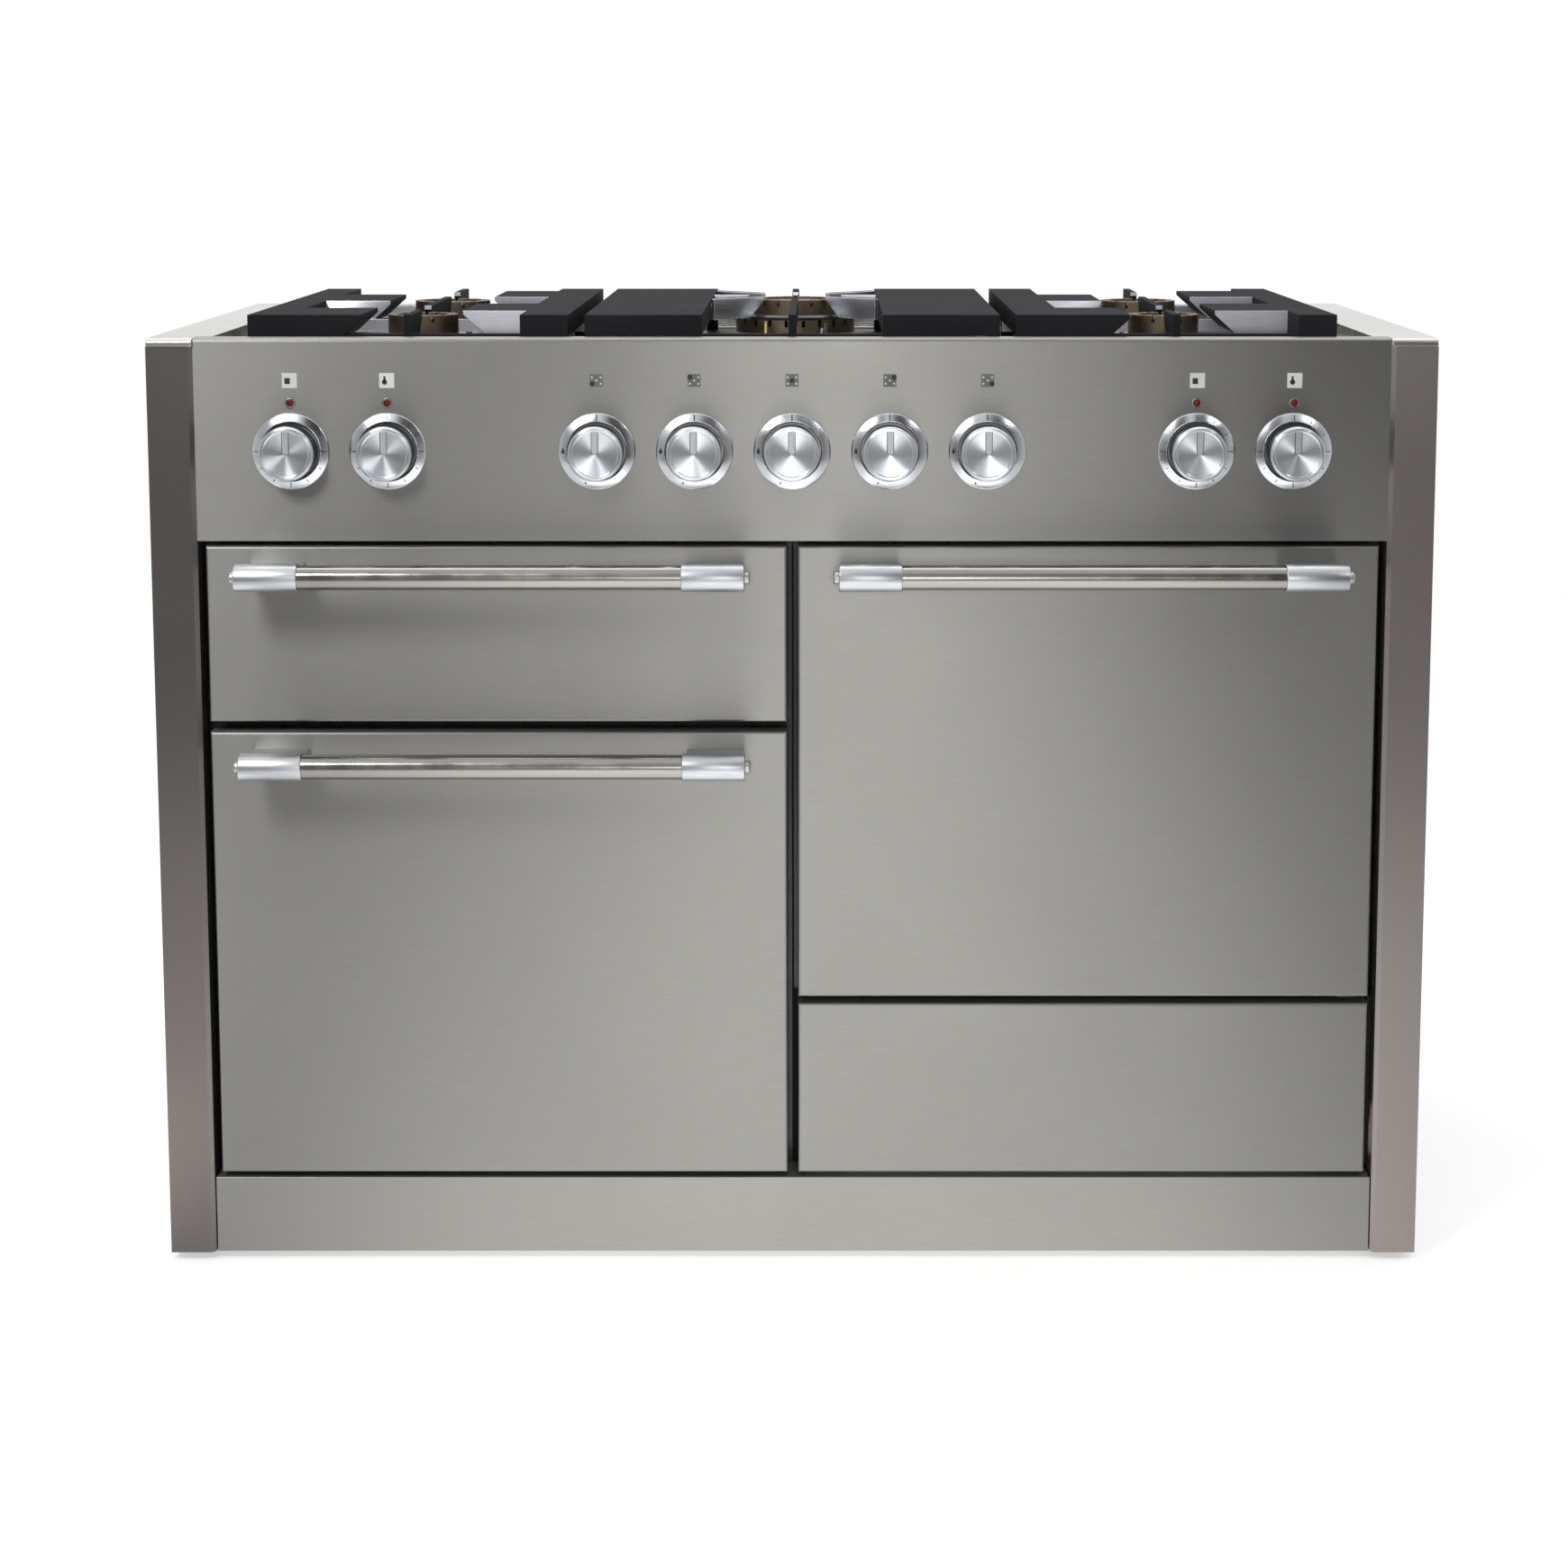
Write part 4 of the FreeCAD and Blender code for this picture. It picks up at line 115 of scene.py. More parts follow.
# Knobs: the crown with its dished face, the grip wall behind it, the spindle and the pointer
KNOB_GAP = 5.5 * MM
KNOB_RADIUS = 25.5 * MM
KNOB_CHAMFER = 1.6 * MM
KNOB_FACE = 21.5 * MM
CROWN_DEPTH = 6 * MM
CROWN_INSET = 0.6 * MM
CROWN_EDGE = 1 * MM
CROWN_ROUNDING = 0.5 * MM
DISH_RIM = 0.6 * MM
DISH_DEPTH = 0.8 * MM
GRIP_INSET = 0.4 * MM
GRIP_ROUNDING = 0.8 * MM
SPINDLE_RADIUS = 4 * MM
SPINDLE_CHAMFER = 1 * MM
SPINDLE_ROUNDING = 0.4 * MM
POINTER_WIDTH = 5.6 * MM
POINTER_END = 1.5 * MM
POINTER_SINK = 1.3 * MM
POINTER_HEIGHT = 1 * MM
GROOVE_MARGIN = (1.2 * MM, 0.4 * MM)
GROOVE_HEIGHT = 0.8 * MM

# Bezels: a low wall, a shoulder, a slope up to the crest and a rounded inner edge
BEZEL_RADIUS = 36 * MM
BEZEL_INNER = 27 * MM
BEZEL_HEIGHT = 5 * MM
BEZEL_WALL = 1.6 * MM
SHOULDER_INSET = 0.8 * MM
SHOULDER_HEIGHT = 2.4 * MM
CREST_EDGE = 1.2 * MM
INNER_EDGE = 0.3 * MM
BEZEL_ROUNDING = 0.4 * MM
BEZEL_SLOPE = math.atan2(BEZEL_HEIGHT - SHOULDER_HEIGHT,
                         BEZEL_RADIUS - BEZEL_INNER - SHOULDER_INSET - CREST_EDGE)

# Marks: their thickness and their lift off a bezel's slope, ticks as width and length, flames as
# a length and an angle in degrees clockwise from the top
MARK_HEIGHT = 0.2 * MM
MARK_LIFT = 0.05 * MM
OFF_TICK = (1.1 * MM, 6 * MM)
LONG_TICK = (0.8 * MM, 5 * MM)
SHORT_TICK = (0.8 * MM, 2.6 * MM)
SCALE_TICKS = 10
LONG_TICK_EVERY = 3
TICK_STEP = 30
LARGE_FLAME = 7 * MM
LARGE_FLAME_CLOCK = -90
SMALL_FLAME = 3.4 * MM
SMALL_FLAME_CLOCK = 200
# A drop with its point up, two units long
FLAME_OUTLINE = (
    (0, 1.0), (-0.28, 0.45), (-0.46, 0.0), (-0.42, -0.36), (-0.2, -0.6),
    (0.2, -0.6), (0.42, -0.36), (0.46, 0.0), (0.28, 0.45),
)

# Icon plates above the knobs: a hob plan, its spots in the order of the gas knobs, an oven's
# window and a thermometer of a bulb and a stem
ICON_RISE = 66 * MM
ICON_SIZE = 14 * MM
PLAN_SIZE = 12 * MM
PLAN_SPOTS = ((-4 * MM, -3 * MM), (-4 * MM, 3 * MM), (0, 0), (4 * MM, 3 * MM), (4 * MM, -3 * MM))
SPOT_RADIUS = 0.9 * MM
LARGE_SPOT_RADIUS = 2.4 * MM
WINDOW_SIZE = (5 * MM, 5.5 * MM)
WINDOW_PLACE = (-2 * MM, -0.5 * MM)
BULB_PLACE = (-2 * MM, -1.5 * MM)
STEM_SIZE = (1.8 * MM, 5 * MM)
STEM_PLACE = (-2 * MM, 1.5 * MM)

# Red lamps above the electric knobs: a domed lens inside a collar
LAMP_RISE = 45 * MM
LENS_RADIUS = 3.2 * MM
LENS_EDGE = 0.6 * MM
DOME_HEIGHT = 0.9 * MM
DOME_STEP = 15
COLLAR_INNER = 3.3 * MM
COLLAR_CREST = 3.7 * MM
COLLAR_RADIUS = 5 * MM
COLLAR_HEIGHTS = (0.8 * MM, 1.2 * MM, 0.9 * MM)
COLLAR_ROUNDING = 0.25 * MM

# Handles: the bar, its end sleeves, their plugs and the flat arms to the door
BAR_RADIUS = 11.5 * MM
BAR_RINGS = 8
BAR_SOCKET = 4 * MM
BAR_FIT = 0.2 * MM
SLEEVE_LENGTH = 58 * MM
SLEEVE_RADIUS = 13 * MM
SLEEVE_RIM = 3.5 * MM
SLEEVE_RECESS = 1.5 * MM
SLEEVE_ROUNDING = 0.9 * MM
MOUTH_DEPTH = 3 * MM
PLUG_RADIUS = 6 * MM
PLUG_LENGTH = 5 * MM
PLUG_CHAMFER = 1 * MM
PLUG_ROOT = 2 * MM
PLUG_ROUNDING = 0.6 * MM
ARM_GAP = 2 * MM
ARM_THICKNESS = 10 * MM
ARM_EDGE = 1 * MM

# Hob: each burner's X, Y and cup radius, the height of the tray's floor that they stand on, and
# the electrode's sleeve and the sensor beside each, as (radius, height) from that floor
BURNERS = {
    "front_left": (-0.360, -0.115, 34 * MM),
    "back_left": (-0.360, 0.138, 39 * MM),
    "front_right": (0.360, -0.115, 34 * MM),
    "back_right": (0.360, 0.138, 39 * MM),
    "wok": (0.0, 0.138, 62 * MM),
}
TRAY_FLOOR = 0.866
SPARK_DISTANCE = 16 * MM
SPARK_TURN = math.radians(22.5)
SLEEVE_OUTLINE = (
    (0, 0), (4.2 * MM, 0), (4.2 * MM, 5 * MM), (3.2 * MM, 7 * MM),
    (3.2 * MM, 11 * MM), (2.2 * MM, 13 * MM), (0, 13 * MM),
)
SENSOR_OUTLINE = (
    (0, 0), (4.5 * MM, 0), (4.5 * MM, 4 * MM), (2.2 * MM, 5 * MM),
    (2.2 * MM, 17 * MM), (1.4 * MM, 20 * MM), (0, 20 * MM),
)
CERAMIC_ROUNDING = 0.6 * MM
SENSOR_ROUNDING = 0.4 * MM

# Painted highlight on the front flanks of the supports: how steep, how far above the tray's floor,
# and from where to where along Y they are
FLANK_SLOPE = 0.7
FLANK_RISE = 18 * MM
FLANK_SPAN = (-0.2, 0.25)

# Rounded edges of the pieces that stand for a node
SUPPORT_EDGE = 0.8 * MM
TRAY_EDGE = 1.5 * MM
PLINTH_EDGE = 0.6 * MM

# Trim: a black rubber strip behind the drawer's gap, painted shade, and the back panel's screws, whose cross
# recesses are painted shade
GAP_SHADE_OFFSET = 2.5 * MM
GAP_SHADE_WIDTH = 13 * MM
GAP_SHADE_DEPTH = 6 * MM
GAP_SHADE_EDGE = 1 * MM
SCREW_RADIUS = 4.2 * MM
SCREW_HEIGHT = 2.4 * MM
SCREW_INSET = 14 * MM
SCREW_ROUNDING = 0.8 * MM
SCREW_CREST_SHARE = 0.7
SCREW_SPACES = (5, 3)
CROSS_BAR = (1 * MM, 4.6 * MM)
CROSS_TURN = math.pi / 8


# Shader nodes


class Finish:
    """A material with a Principled shader, and short calls that add the nodes of its pattern."""

    def __init__(self, name, **settings):
        self.material = bpy.data.materials.new(name)
        self.material.use_nodes = True
        self.tree = self.material.node_tree
        self.shader = self.tree.nodes["Principled BSDF"]
        for socket, value in settings.items():
            self.shader.inputs[socket.replace("_", " ")].default_value = value

    def node(self, kind, links=None, **settings):
        """Adds a node; a setting is a property of it or, where it has none of that name, a socket."""
        node = self.tree.nodes.new(kind)
        for name, value in settings.items():
            if hasattr(node, name):
                setattr(node, name, value)
            else:
                node.inputs[name.replace("_", " ")].default_value = value
        for socket, source in (links or {}).items():
            self.tree.links.new(source, node.inputs[socket])
        return node

    def place(self, scale):
        """Object coordinates, in metres, times scale."""
        coordinates = self.node("ShaderNodeTexCoord")
        mapping = self.node("ShaderNodeMapping", {"Vector": coordinates.outputs["Object"]}, Scale=scale)
        return mapping.outputs["Vector"]

    def noise(self, scale, detail=2.0, roughness=0.5):
        texture = self.node("ShaderNodeTexNoise", {"Vector": self.place(scale)},
                            Scale=1.0, Detail=detail, Roughness=roughness)
        return texture.outputs["Fac"]

    def cells(self, scale):
        texture = self.node("ShaderNodeTexVoronoi", {"Vector": self.place(scale)}, Scale=1.0)
        return texture.outputs["Distance"]

    def rings(self, scale, axis):
        texture = self.node("ShaderNodeTexWave", {"Vector": self.place((1, 1, 1))}, wave_type="RINGS",
                            rings_direction=axis, Scale=scale, Distortion=0.6, Detail=1.0)
        return texture.outputs["Fac"]

    def spread(self, value, low, high, start=0.3, end=0.7):
        """Maps the middle of a pattern's values to the span from low to high."""
        settings = {"From_Min": start, "From_Max": end, "To_Min": low, "To_Max": high}
        return self.node("ShaderNodeMapRange", {"Value": value}, **settings).outputs["Result"]

    def colours(self, value, low, high, start=0.3, end=0.7):
        """Colours from low to high over the middle of a pattern's values."""
        ramp = self.node("ShaderNodeValToRGB", {"Fac": value})
        for element, position, colour in zip(ramp.color_ramp.elements, (start, end), (low, high)):
            element.position = position
            element.color = (*colour, 1)
        return ramp.outputs["Color"]

    def shades(self, value, colour, low, high, start=0.3, end=0.7):
        """Colours between two multiples of one colour."""
        return self.colours(value, shade(colour, low), shade(colour, high), start, end)

    def drive(self, socket, output):
        self.tree.links.new(output, self.shader.inputs[socket])

    def gloss(self, value, roughness, span):
        """Roughness that varies with a pattern by span to either side."""
        self.drive("Roughness", self.spread(value, roughness - span, roughness + span))

    def draw_out(self, axis):
        """Lets the direction in which reflections are drawn out turn about an axis."""
        tangent = self.node("ShaderNodeTangent", direction_type="RADIAL", axis=axis)
        self.drive("Tangent", tangent.outputs["Tangent"])

    def bump(self, height, strength, distance):
        """Adds relief on top of the relief that is there."""
        links = {"Height": height}
        below = self.shader.inputs["Normal"].links
        if below:
            links["Normal"] = below[0].from_socket
        node = self.node("ShaderNodeBump", links, Strength=strength, Distance=distance)
        self.drive("Normal", node.outputs["Normal"])

    def brush(self, lines, roughness, axis):
        """Relief of hair lines, with faint broad clouds in the gloss."""
        self.gloss(self.noise((3, 3, 3), detail=3.0), roughness, 0.04)
        self.bump(lines, 0.15, 0.05 * MM)
        self.draw_out(axis)


def smooth_step(tree, value, low, high, start=0.0, end=1.0):
    """A smooth change from start, where the value is low or less, to end, where it is high or more."""
    reach = tree.nodes.new("ShaderNodeMapRange")
    reach.interpolation_type = "SMOOTHSTEP"
    for socket, number in zip(("From Min", "From Max", "To Min", "To Max"), (low, high, start, end)):
        reach.inputs[socket].default_value = number
    tree.links.new(value, reach.inputs["Value"])
    return reach.outputs[0]


def combine(tree, operation, first, second):
    """The sum, product or larger one of two outputs."""
    node = tree.nodes.new("ShaderNodeMath")
    node.operation = operation
    tree.links.new(first, node.inputs[0])
    tree.links.new(second, node.inputs[1])
    return node.outputs[0]


def blend_colours(tree, share, low, high):
    """Mixes two colours; each is a plain colour or another node's output."""
    mix = tree.nodes.new("ShaderNodeMix")
    mix.data_type = "RGBA"
    tree.links.new(share, mix.inputs["Factor"])
    for socket, colour in (("A", low), ("B", high)):
        if isinstance(colour, tuple):
            mix.inputs[socket].default_value = (*colour, 1)
        else:
            tree.links.new(colour, mix.inputs[socket])
    return mix.outputs["Result"]


def shade(colour, factor):
    """A multiple of a colour, up to white."""
    return tuple(min(1.0, part * factor) for part in colour)


# Kinds of finish


def brushed(name, colour, roughness, grain, contrast=0.1, anisotropy=0.5, across="X"):
    """Rolled or ground metal: hair lines of a grain, and faint broad clouds in its gloss."""
    finish = Finish(name, Metallic=1.0, Anisotropic=anisotropy)
    lines = finish.noise(grain, detail=3.0, roughness=0.65)
    finish.drive("Base Color", finish.shades(lines, colour, 1 - contrast, 1 + contrast))
    finish.brush(lines, roughness, across)
    return finish.material


def post_sheet_painted_shade(name, colour, left_shade_colour, roughness):
    """Sheet brushed upright; the left post's colour is darker than the right one's, as in the photograph:
    painted shade for its darker reflections.
    """
    finish = Finish(name, Metallic=1.0, Anisotropic=0.6)
    lines = finish.noise(UPRIGHT_GRAIN, detail=3.0, roughness=0.65)
    apart = finish.node("ShaderNodeSeparateXYZ", {0: finish.place((1, 1, 1))})
    right = smooth_step(finish.tree, apart.outputs["X"], *POST_SHADE_CHANGE)
    tones = [finish.shades(lines, tone, 0.96, 1.04) for tone in (left_shade_colour, colour)]
    finish.drive("Base Color", blend_colours(finish.tree, right, *tones))
    finish.brush(lines, roughness, "Z")
    return finish.material


def polished(name, colour, roughness, contrast=0.05):
    """Plated or buffed metal with faint smears in its gloss."""
    finish = Finish(name, Metallic=1.0)
    smears = finish.noise((40, 40, 40), detail=3.0)
    finish.drive("Base Color", finish.shades(smears, colour, 1 - contrast, 1 + contrast))
    finish.drive("Roughness", finish.spread(smears, roughness * 0.7, roughness * 1.4))
    return finish.material


def turned_metal(name, colour, roughness, axis, anisotropy=0.8):
    """Metal with the fine rings of a lathe round the piece's own axis."""
    finish = Finish(name, Metallic=1.0, Anisotropic=anisotropy, Anisotropic_Rotation=0.25)
    rings = finish.rings(420.0, axis)
    finish.drive("Base Color", finish.shades(rings, colour, 0.93, 1.05, 0.1, 0.9))
    finish.gloss(finish.noise((60, 60, 60)), roughness, 0.02)
    finish.draw_out(axis)
    return finish.material


def coated(name, colour, roughness, grain, relief, variation=0.15, coat=0.0, shine=0.5):
    """Paint, enamel, plastic or casting: a grain of the given size, in metres, with a relief."""
    finish = Finish(name, Coat_Weight=coat, Coat_Roughness=0.12, Specular_IOR_Level=shine)
    step = 1 / grain
    skin = finish.noise((step, step, step), detail=3.0)
    clouds = finish.noise((9, 9, 9), detail=2.0)
    finish.drive("Base Color", finish.shades(clouds, colour, 1 - variation, 1 + variation))
    finish.gloss(skin, roughness, 0.06)
    finish.bump(skin, 0.5, relief)
    return finish.material


def speckled(name, colour, fleck, roughness):
    """Vitreous enamel with small pale flecks."""
    finish = Finish(name, Coat_Weight=0.3, Coat_Roughness=0.1)
    flecks = finish.cells((420, 420, 420))
    waves = finish.noise((60, 60, 60))
    finish.drive("Base Color", finish.colours(flecks, fleck, colour, 0.08, 0.2))
    finish.gloss(waves, roughness, 0.05)
    finish.bump(waves, 0.3, 0.1 * MM)
    return finish.material


def spangled(name, colour):
    """Zinc-coated sheet with its crystal pattern."""
    finish = Finish(name, Metallic=1.0)
    crystals = finish.cells((120, 120, 120))
    finish.drive("Base Color", finish.shades(crystals, colour, 0.9, 1.04, 0.1, 0.8))
    finish.gloss(finish.noise((6, 6, 6), detail=3.0), 0.49, 0.07)
    finish.bump(crystals, 0.06, 0.03 * MM)
    return finish.material


def fibrous(name, colour):
    """Mineral wool: matted fibres in a soft yellow grey."""
    finish = Finish(name, Roughness=0.95)
    fibres = finish.noise((90, 700, 700), detail=4.0)
    clumps = finish.noise((45, 45, 45), detail=3.0)
    finish.drive("Base Color", finish.shades(clumps, colour, 0.75, 1.15))
    finish.bump(fibres, 0.8, 0.6 * MM)
    finish.bump(clumps, 0.8, 2.0 * MM)
    return finish.material


def lens(name, colour, glow):
    """Red lamp glass, a little darker in patches where its prisms turn the light away."""
    finish = Finish(name, Roughness=0.2, Specular_IOR_Level=0.25, Coat_Weight=0.1, Coat_Roughness=0.05,
                    Emission_Color=(*colour, 1), Emission_Strength=glow)
    prisms = finish.cells((900, 900, 900))
    finish.drive("Base Color", finish.shades(prisms, colour, 1.0, 0.6, 0.1, 0.8))
    finish.bump(prisms, 0.3, 0.1 * MM)
    return finish.material


STEEL = (0.275, 0.271, 0.255)
# Where along X the left post's painted shade gives way to the right post's tone, between the two posts
POST_SHADE_CHANGE = (-0.1, 0.1)
# Grains: how fast the hair lines vary along X, Y and Z, for each metre
LEVEL_GRAIN = (30, 30, 1500)
UPRIGHT_GRAIN = (1500, 1500, 25)
CAST_GRAIN = (500, 500, 120)
EVEN_GRAIN = (300, 300, 300)
FINISHES = {
    "brushed_steel": brushed("brushed_steel", STEEL, 0.37, LEVEL_GRAIN, 0.05, anisotropy=0.85),
    "side_steel": brushed("side_steel", STEEL, 0.42, (30, 30, 1200), 0.04),
    # Painted light: the hob tray's steel is about twice as pale as the body's, for its bright grazing
    # reflections
    "hob_steel": brushed("hob_steel", shade(STEEL, 2.05), 0.26, (1500, 30, 30), 0.04, across="Y"),
    # Front posts: the right post's colour, then the darker left one, which is painted shade
    "post_steel": post_sheet_painted_shade("post_steel", (0.295, 0.268, 0.252), (0.20, 0.183, 0.172), 0.34),
    # Partly painted shade: the frame's own dark coat is made near black so the gaps between the front panels
    # stay dark
    "frame_steel": coated("frame_steel", (0.014, 0.014, 0.015), 0.5, 0.6 * MM, 0.05 * MM, shine=0.2),
    "galvanised_steel": spangled("galvanised_steel", (0.40, 0.41, 0.42)),
    "motor_steel": spangled("motor_steel", (0.34, 0.34, 0.35)),
    "element_steel": coated("element_steel", (0.07, 0.065, 0.06), 0.5, 0.8 * MM, 0.05 * MM, 0.3),
    "gas_pipe": brushed("gas_pipe", (0.55, 0.54, 0.52), 0.35, EVEN_GRAIN),
    "burner_aluminium": brushed("burner_aluminium", (0.19, 0.185, 0.18), 0.45, CAST_GRAIN, anisotropy=0.2),
    "burner_brass": brushed("burner_brass", (0.22, 0.175, 0.12), 0.45, CAST_GRAIN, anisotropy=0.2),
    "black_enamel": coated("black_enamel", (0.016, 0.016, 0.018), 0.32, 1.2 * MM, 0.04 * MM, coat=0.3),
    "cast_iron": coated("cast_iron", (0.017, 0.017, 0.020), 0.6, 0.9 * MM, 0.12 * MM, shine=0.02),
    "oven_enamel": speckled("oven_enamel", (0.014, 0.0145, 0.017), (0.09, 0.095, 0.105), 0.3),
    "mineral_wool": fibrous("mineral_wool", (0.42, 0.36, 0.22)),
    "seal_rubber": coated("seal_rubber", (0.03, 0.03, 0.032), 0.75, 0.8 * MM, 0.08 * MM),
    "chrome_wire": polished("chrome_wire", (0.62, 0.62, 0.63), 0.16),
    "handle_chrome": polished("handle_chrome", (0.34, 0.33, 0.305), 0.18, 0.02),
    "bezel_chrome": polished("bezel_chrome", (0.72, 0.745, 0.79), 0.22, 0.02),
    "knob_aluminium": turned_metal("knob_aluminium", (0.69, 0.73, 0.765), 0.30, "Y", 0.93),
    "brass": brushed("brass", (0.60, 0.42, 0.17), 0.32, EVEN_GRAIN),
    "switch_plastic": coated("switch_plastic", (0.62, 0.60, 0.54), 0.5, 0.7 * MM, 0.03 * MM),
    "foot_plastic": coated("foot_plastic", (0.03, 0.03, 0.03), 0.6, 0.7 * MM, 0.05 * MM),
    "lamp_red": lens("lamp_red", (0.16, 0.008, 0.006), 0.05),
}
# Nodes that don't look as their material slot says
NODE_FINISHES = {"front_posts": "post_steel", "burner_crowns": "burner_brass"}

# Finishes that only the scene's own pieces have
SLEEVE_SATIN = brushed("sleeve_satin", (0.53, 0.545, 0.565), 0.33, (40, 900, 900))
SPINDLE_STEEL = brushed("spindle_steel", (0.45, 0.45, 0.46), 0.35, EVEN_GRAIN)
# Black of printed marks, and painted shade in the knobs' pointer grooves and the screws' cross recesses
PRINT_AND_SHADE_BLACK = coated("print_and_shade_black", (0.02, 0.02, 0.022), 0.5, 0.5 * MM, 0.02 * MM)
PALE_PLATE = coated("icon_white", (0.62, 0.63, 0.62), 0.4, 0.5 * MM, 0.02 * MM)
CERAMIC = coated("spark_ceramic", (0.72, 0.70, 0.66), 0.35, 0.9 * MM, 0.03 * MM, coat=0.4)
# Painted highlight: pale metal on the front flanks of the black supports
FLANK_SHEEN = brushed("flank_painted_sheen", (0.74, 0.76, 0.82), 0.30, (60, 60, 900))
# Partly painted shade: the knobs' grip walls are near black, and this black also stands in for the shadow
# ring round each face
GRIP_DARK_AND_SHADE = coated("grip_dark_and_shade", (0.01, 0.01, 0.011), 0.4, 0.5 * MM, 0.02 * MM, shine=0.15)
# Painted light: the plinth's steel is a paler copy of the brushed steel, for the floor's light that it
# reflects
PLINTH_PAINTED_LIGHT = brushed("plinth_painted_light", shade(STEEL, 1.14), 0.37, LEVEL_GRAIN, 0.05, anisotropy=0.85)
POINTER_SATIN = brushed("pointer_satin", (0.48, 0.49, 0.52), 0.42, (900, 900, 60), 0.06)
ICON_GREY = coated("icon_grey", (0.12, 0.135, 0.125), 0.45, 0.5 * MM, 0.02 * MM)


def dress_nodes():
    """Gives every CAD node the finish of its material slot, or its own."""
    for part in frame["record"]["subparts"]:
        node = part["node"]
        finish = FINISHES[NODE_FINISHES.get(node, part["material_slot"])]
        for slot in NODES[node].material_slots:
            slot.material = finish


# Mesh helpers


def piece(name, mesh, material, body, replaces=(), place=(0, 0, 0)):
    """Puts a bmesh in the scene as a piece of the object that rides on a body."""
    bmesh.ops.recalc_face_normals(mesh, faces=mesh.faces)
    data = bpy.data.meshes.new(name)
    mesh.to_mesh(data)
    mesh.free()
    data.materials.append(material)
    data.shade_smooth()
    data.set_sharp_from_angle(angle=SMOOTH_ANGLE)
    thing = bpy.data.objects.new(name, data)
    thing.location = place
    bpy.context.collection.objects.link(thing)
    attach(thing, body)
    if replaces:
        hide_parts(*replaces)
    return thing


def softened(node, body, material, width):
    """Stands for a node: the same form with its edges rounded."""
    mesh = bmesh.new()
    mesh.from_mesh(NODES[node].data)
    bmesh.ops.remove_doubles(mesh, verts=mesh.verts, dist=WELD_DISTANCE)
    bmesh.ops.dissolve_limit(mesh, angle_limit=FLAT_ANGLE, verts=mesh.verts, edges=mesh.edges)
    thing = piece(f"{node}_soft", mesh, material, body, replaces=(node,))
    bevel = thing.modifiers.new("Edges", "BEVEL")
    bevel.width = width
    bevel.segments = EDGE_SEGMENTS
    bevel.limit_method = "ANGLE"
    bevel.angle_limit = BEVEL_ANGLE
    bevel.harden_normals = True
    return thing


def rounded(profile, radius, steps=3):
    """Rounds the inner corners of an open profile."""
    points = [Vector(profile[0])]
    for before, corner, after in zip(profile, profile[1:], profile[2:]):
        before, corner, after = Vector(before), Vector(corner), Vector(after)
        reach = min(radius, (before - corner).length / 2, (after - corner).length / 2)
        start = corner + (before - corner).normalized() * reach
        end = corner + (after - corner).normalized() * reach
        for step in range(steps + 1):
            share = step / steps
            points.append(start.lerp(corner, share).lerp(corner.lerp(end, share), share))
    points.append(Vector(profile[-1]))
    return points


# Turns that lay a form's own height along an axis
AXES = {
    "X": Matrix(((0, 0, 1), (0, 1, 0), (-1, 0, 0))).to_4x4(),
    "front": Matrix(((1, 0, 0), (0, 0, -1), (0, 1, 0))).to_4x4(),
    "Z": Matrix.Identity(4),
}


def lathe(mesh, profile, place=(0, 0, 0), axis="Z", segments=ROUND_SEGMENTS):
    """Adds a turned form: profile is a list of (radius, height along the axis)."""
    turn = Matrix.Translation(place) @ AXES[axis]
    rings = []
    for radius, height in profile:
        steps = segments if radius > TINY else 1
        angles = [FULL_TURN * step / segments for step in range(steps)]
        rings.append([
            mesh.verts.new(turn @ Vector((radius * math.cos(angle), radius * math.sin(angle), height)))
            for angle in angles
        ])
    for low, high in zip(rings, rings[1:]):
        for step in range(segments):
            following = (step + 1) % segments
            corners = [low[step % len(low)], low[following % len(low)],
                       high[following % len(high)], high[step % len(high)]]
            unique = list(dict.fromkeys(corners))
            if len(unique) > 2:
                mesh.faces.new(unique)
    if len(rings[0]) > 1 and (Vector(profile[0]) - Vector(profile[-1])).length < TINY:
        bmesh.ops.remove_doubles(mesh, verts=rings[0] + rings[-1], dist=TINY)


def plate(mesh, outline, place, height, axis="front"):
    """Adds a flat form: outline is a closed list of (across, up), raised by height."""
    turn = Matrix.Translation(place) @ AXES[axis]
    low = [mesh.verts.new(turn @ Vector((x, y, 0))) for x, y in outline]
    high = [mesh.verts.new(turn @ Vector((x, y, height))) for x, y in outline]
    mesh.faces.new(low)
    mesh.faces.new(high)
    for step in range(len(outline)):
        following = (step + 1) % len(outline)
        mesh.faces.new((low[step], low[following], high[following], high[step]))


def slab(mesh, low, high, radius):
    """Adds a box with rounded edges."""
    low, high = Vector(low), Vector(high)
    part = bmesh.new()
    bmesh.ops.create_cube(part, size=1)
    part.transform(Matrix.Translation((low + high) / 2) @ Matrix.Diagonal((*(high - low), 1)))
    bmesh.ops.bevel(part, geom=part.edges[:], offset=radius, segments=EDGE_SEGMENTS, profile=0.5,
                    affect="EDGES")
    copy_into(part, mesh, Matrix.Identity(4))


def copy_into(source, target, turn):
    """Moves the faces of one bmesh into another, and frees the first."""
    source.transform(turn)
    known = {vert: target.verts.new(vert.co) for vert in source.verts}
    for face in source.faces:
        target.faces.new([known[vert] for vert in face.verts])
    source.free()


def lathe_into(target, profile, turn, axis, segments=ROUND_SEGMENTS):
    """Adds a turned form that a matrix turns, moves or mirrors."""
    part = bmesh.new()
    lathe(part, profile, axis=axis, segments=segments)
    copy_into(part, target, turn)


# Outlines, as closed lists of (across, up)


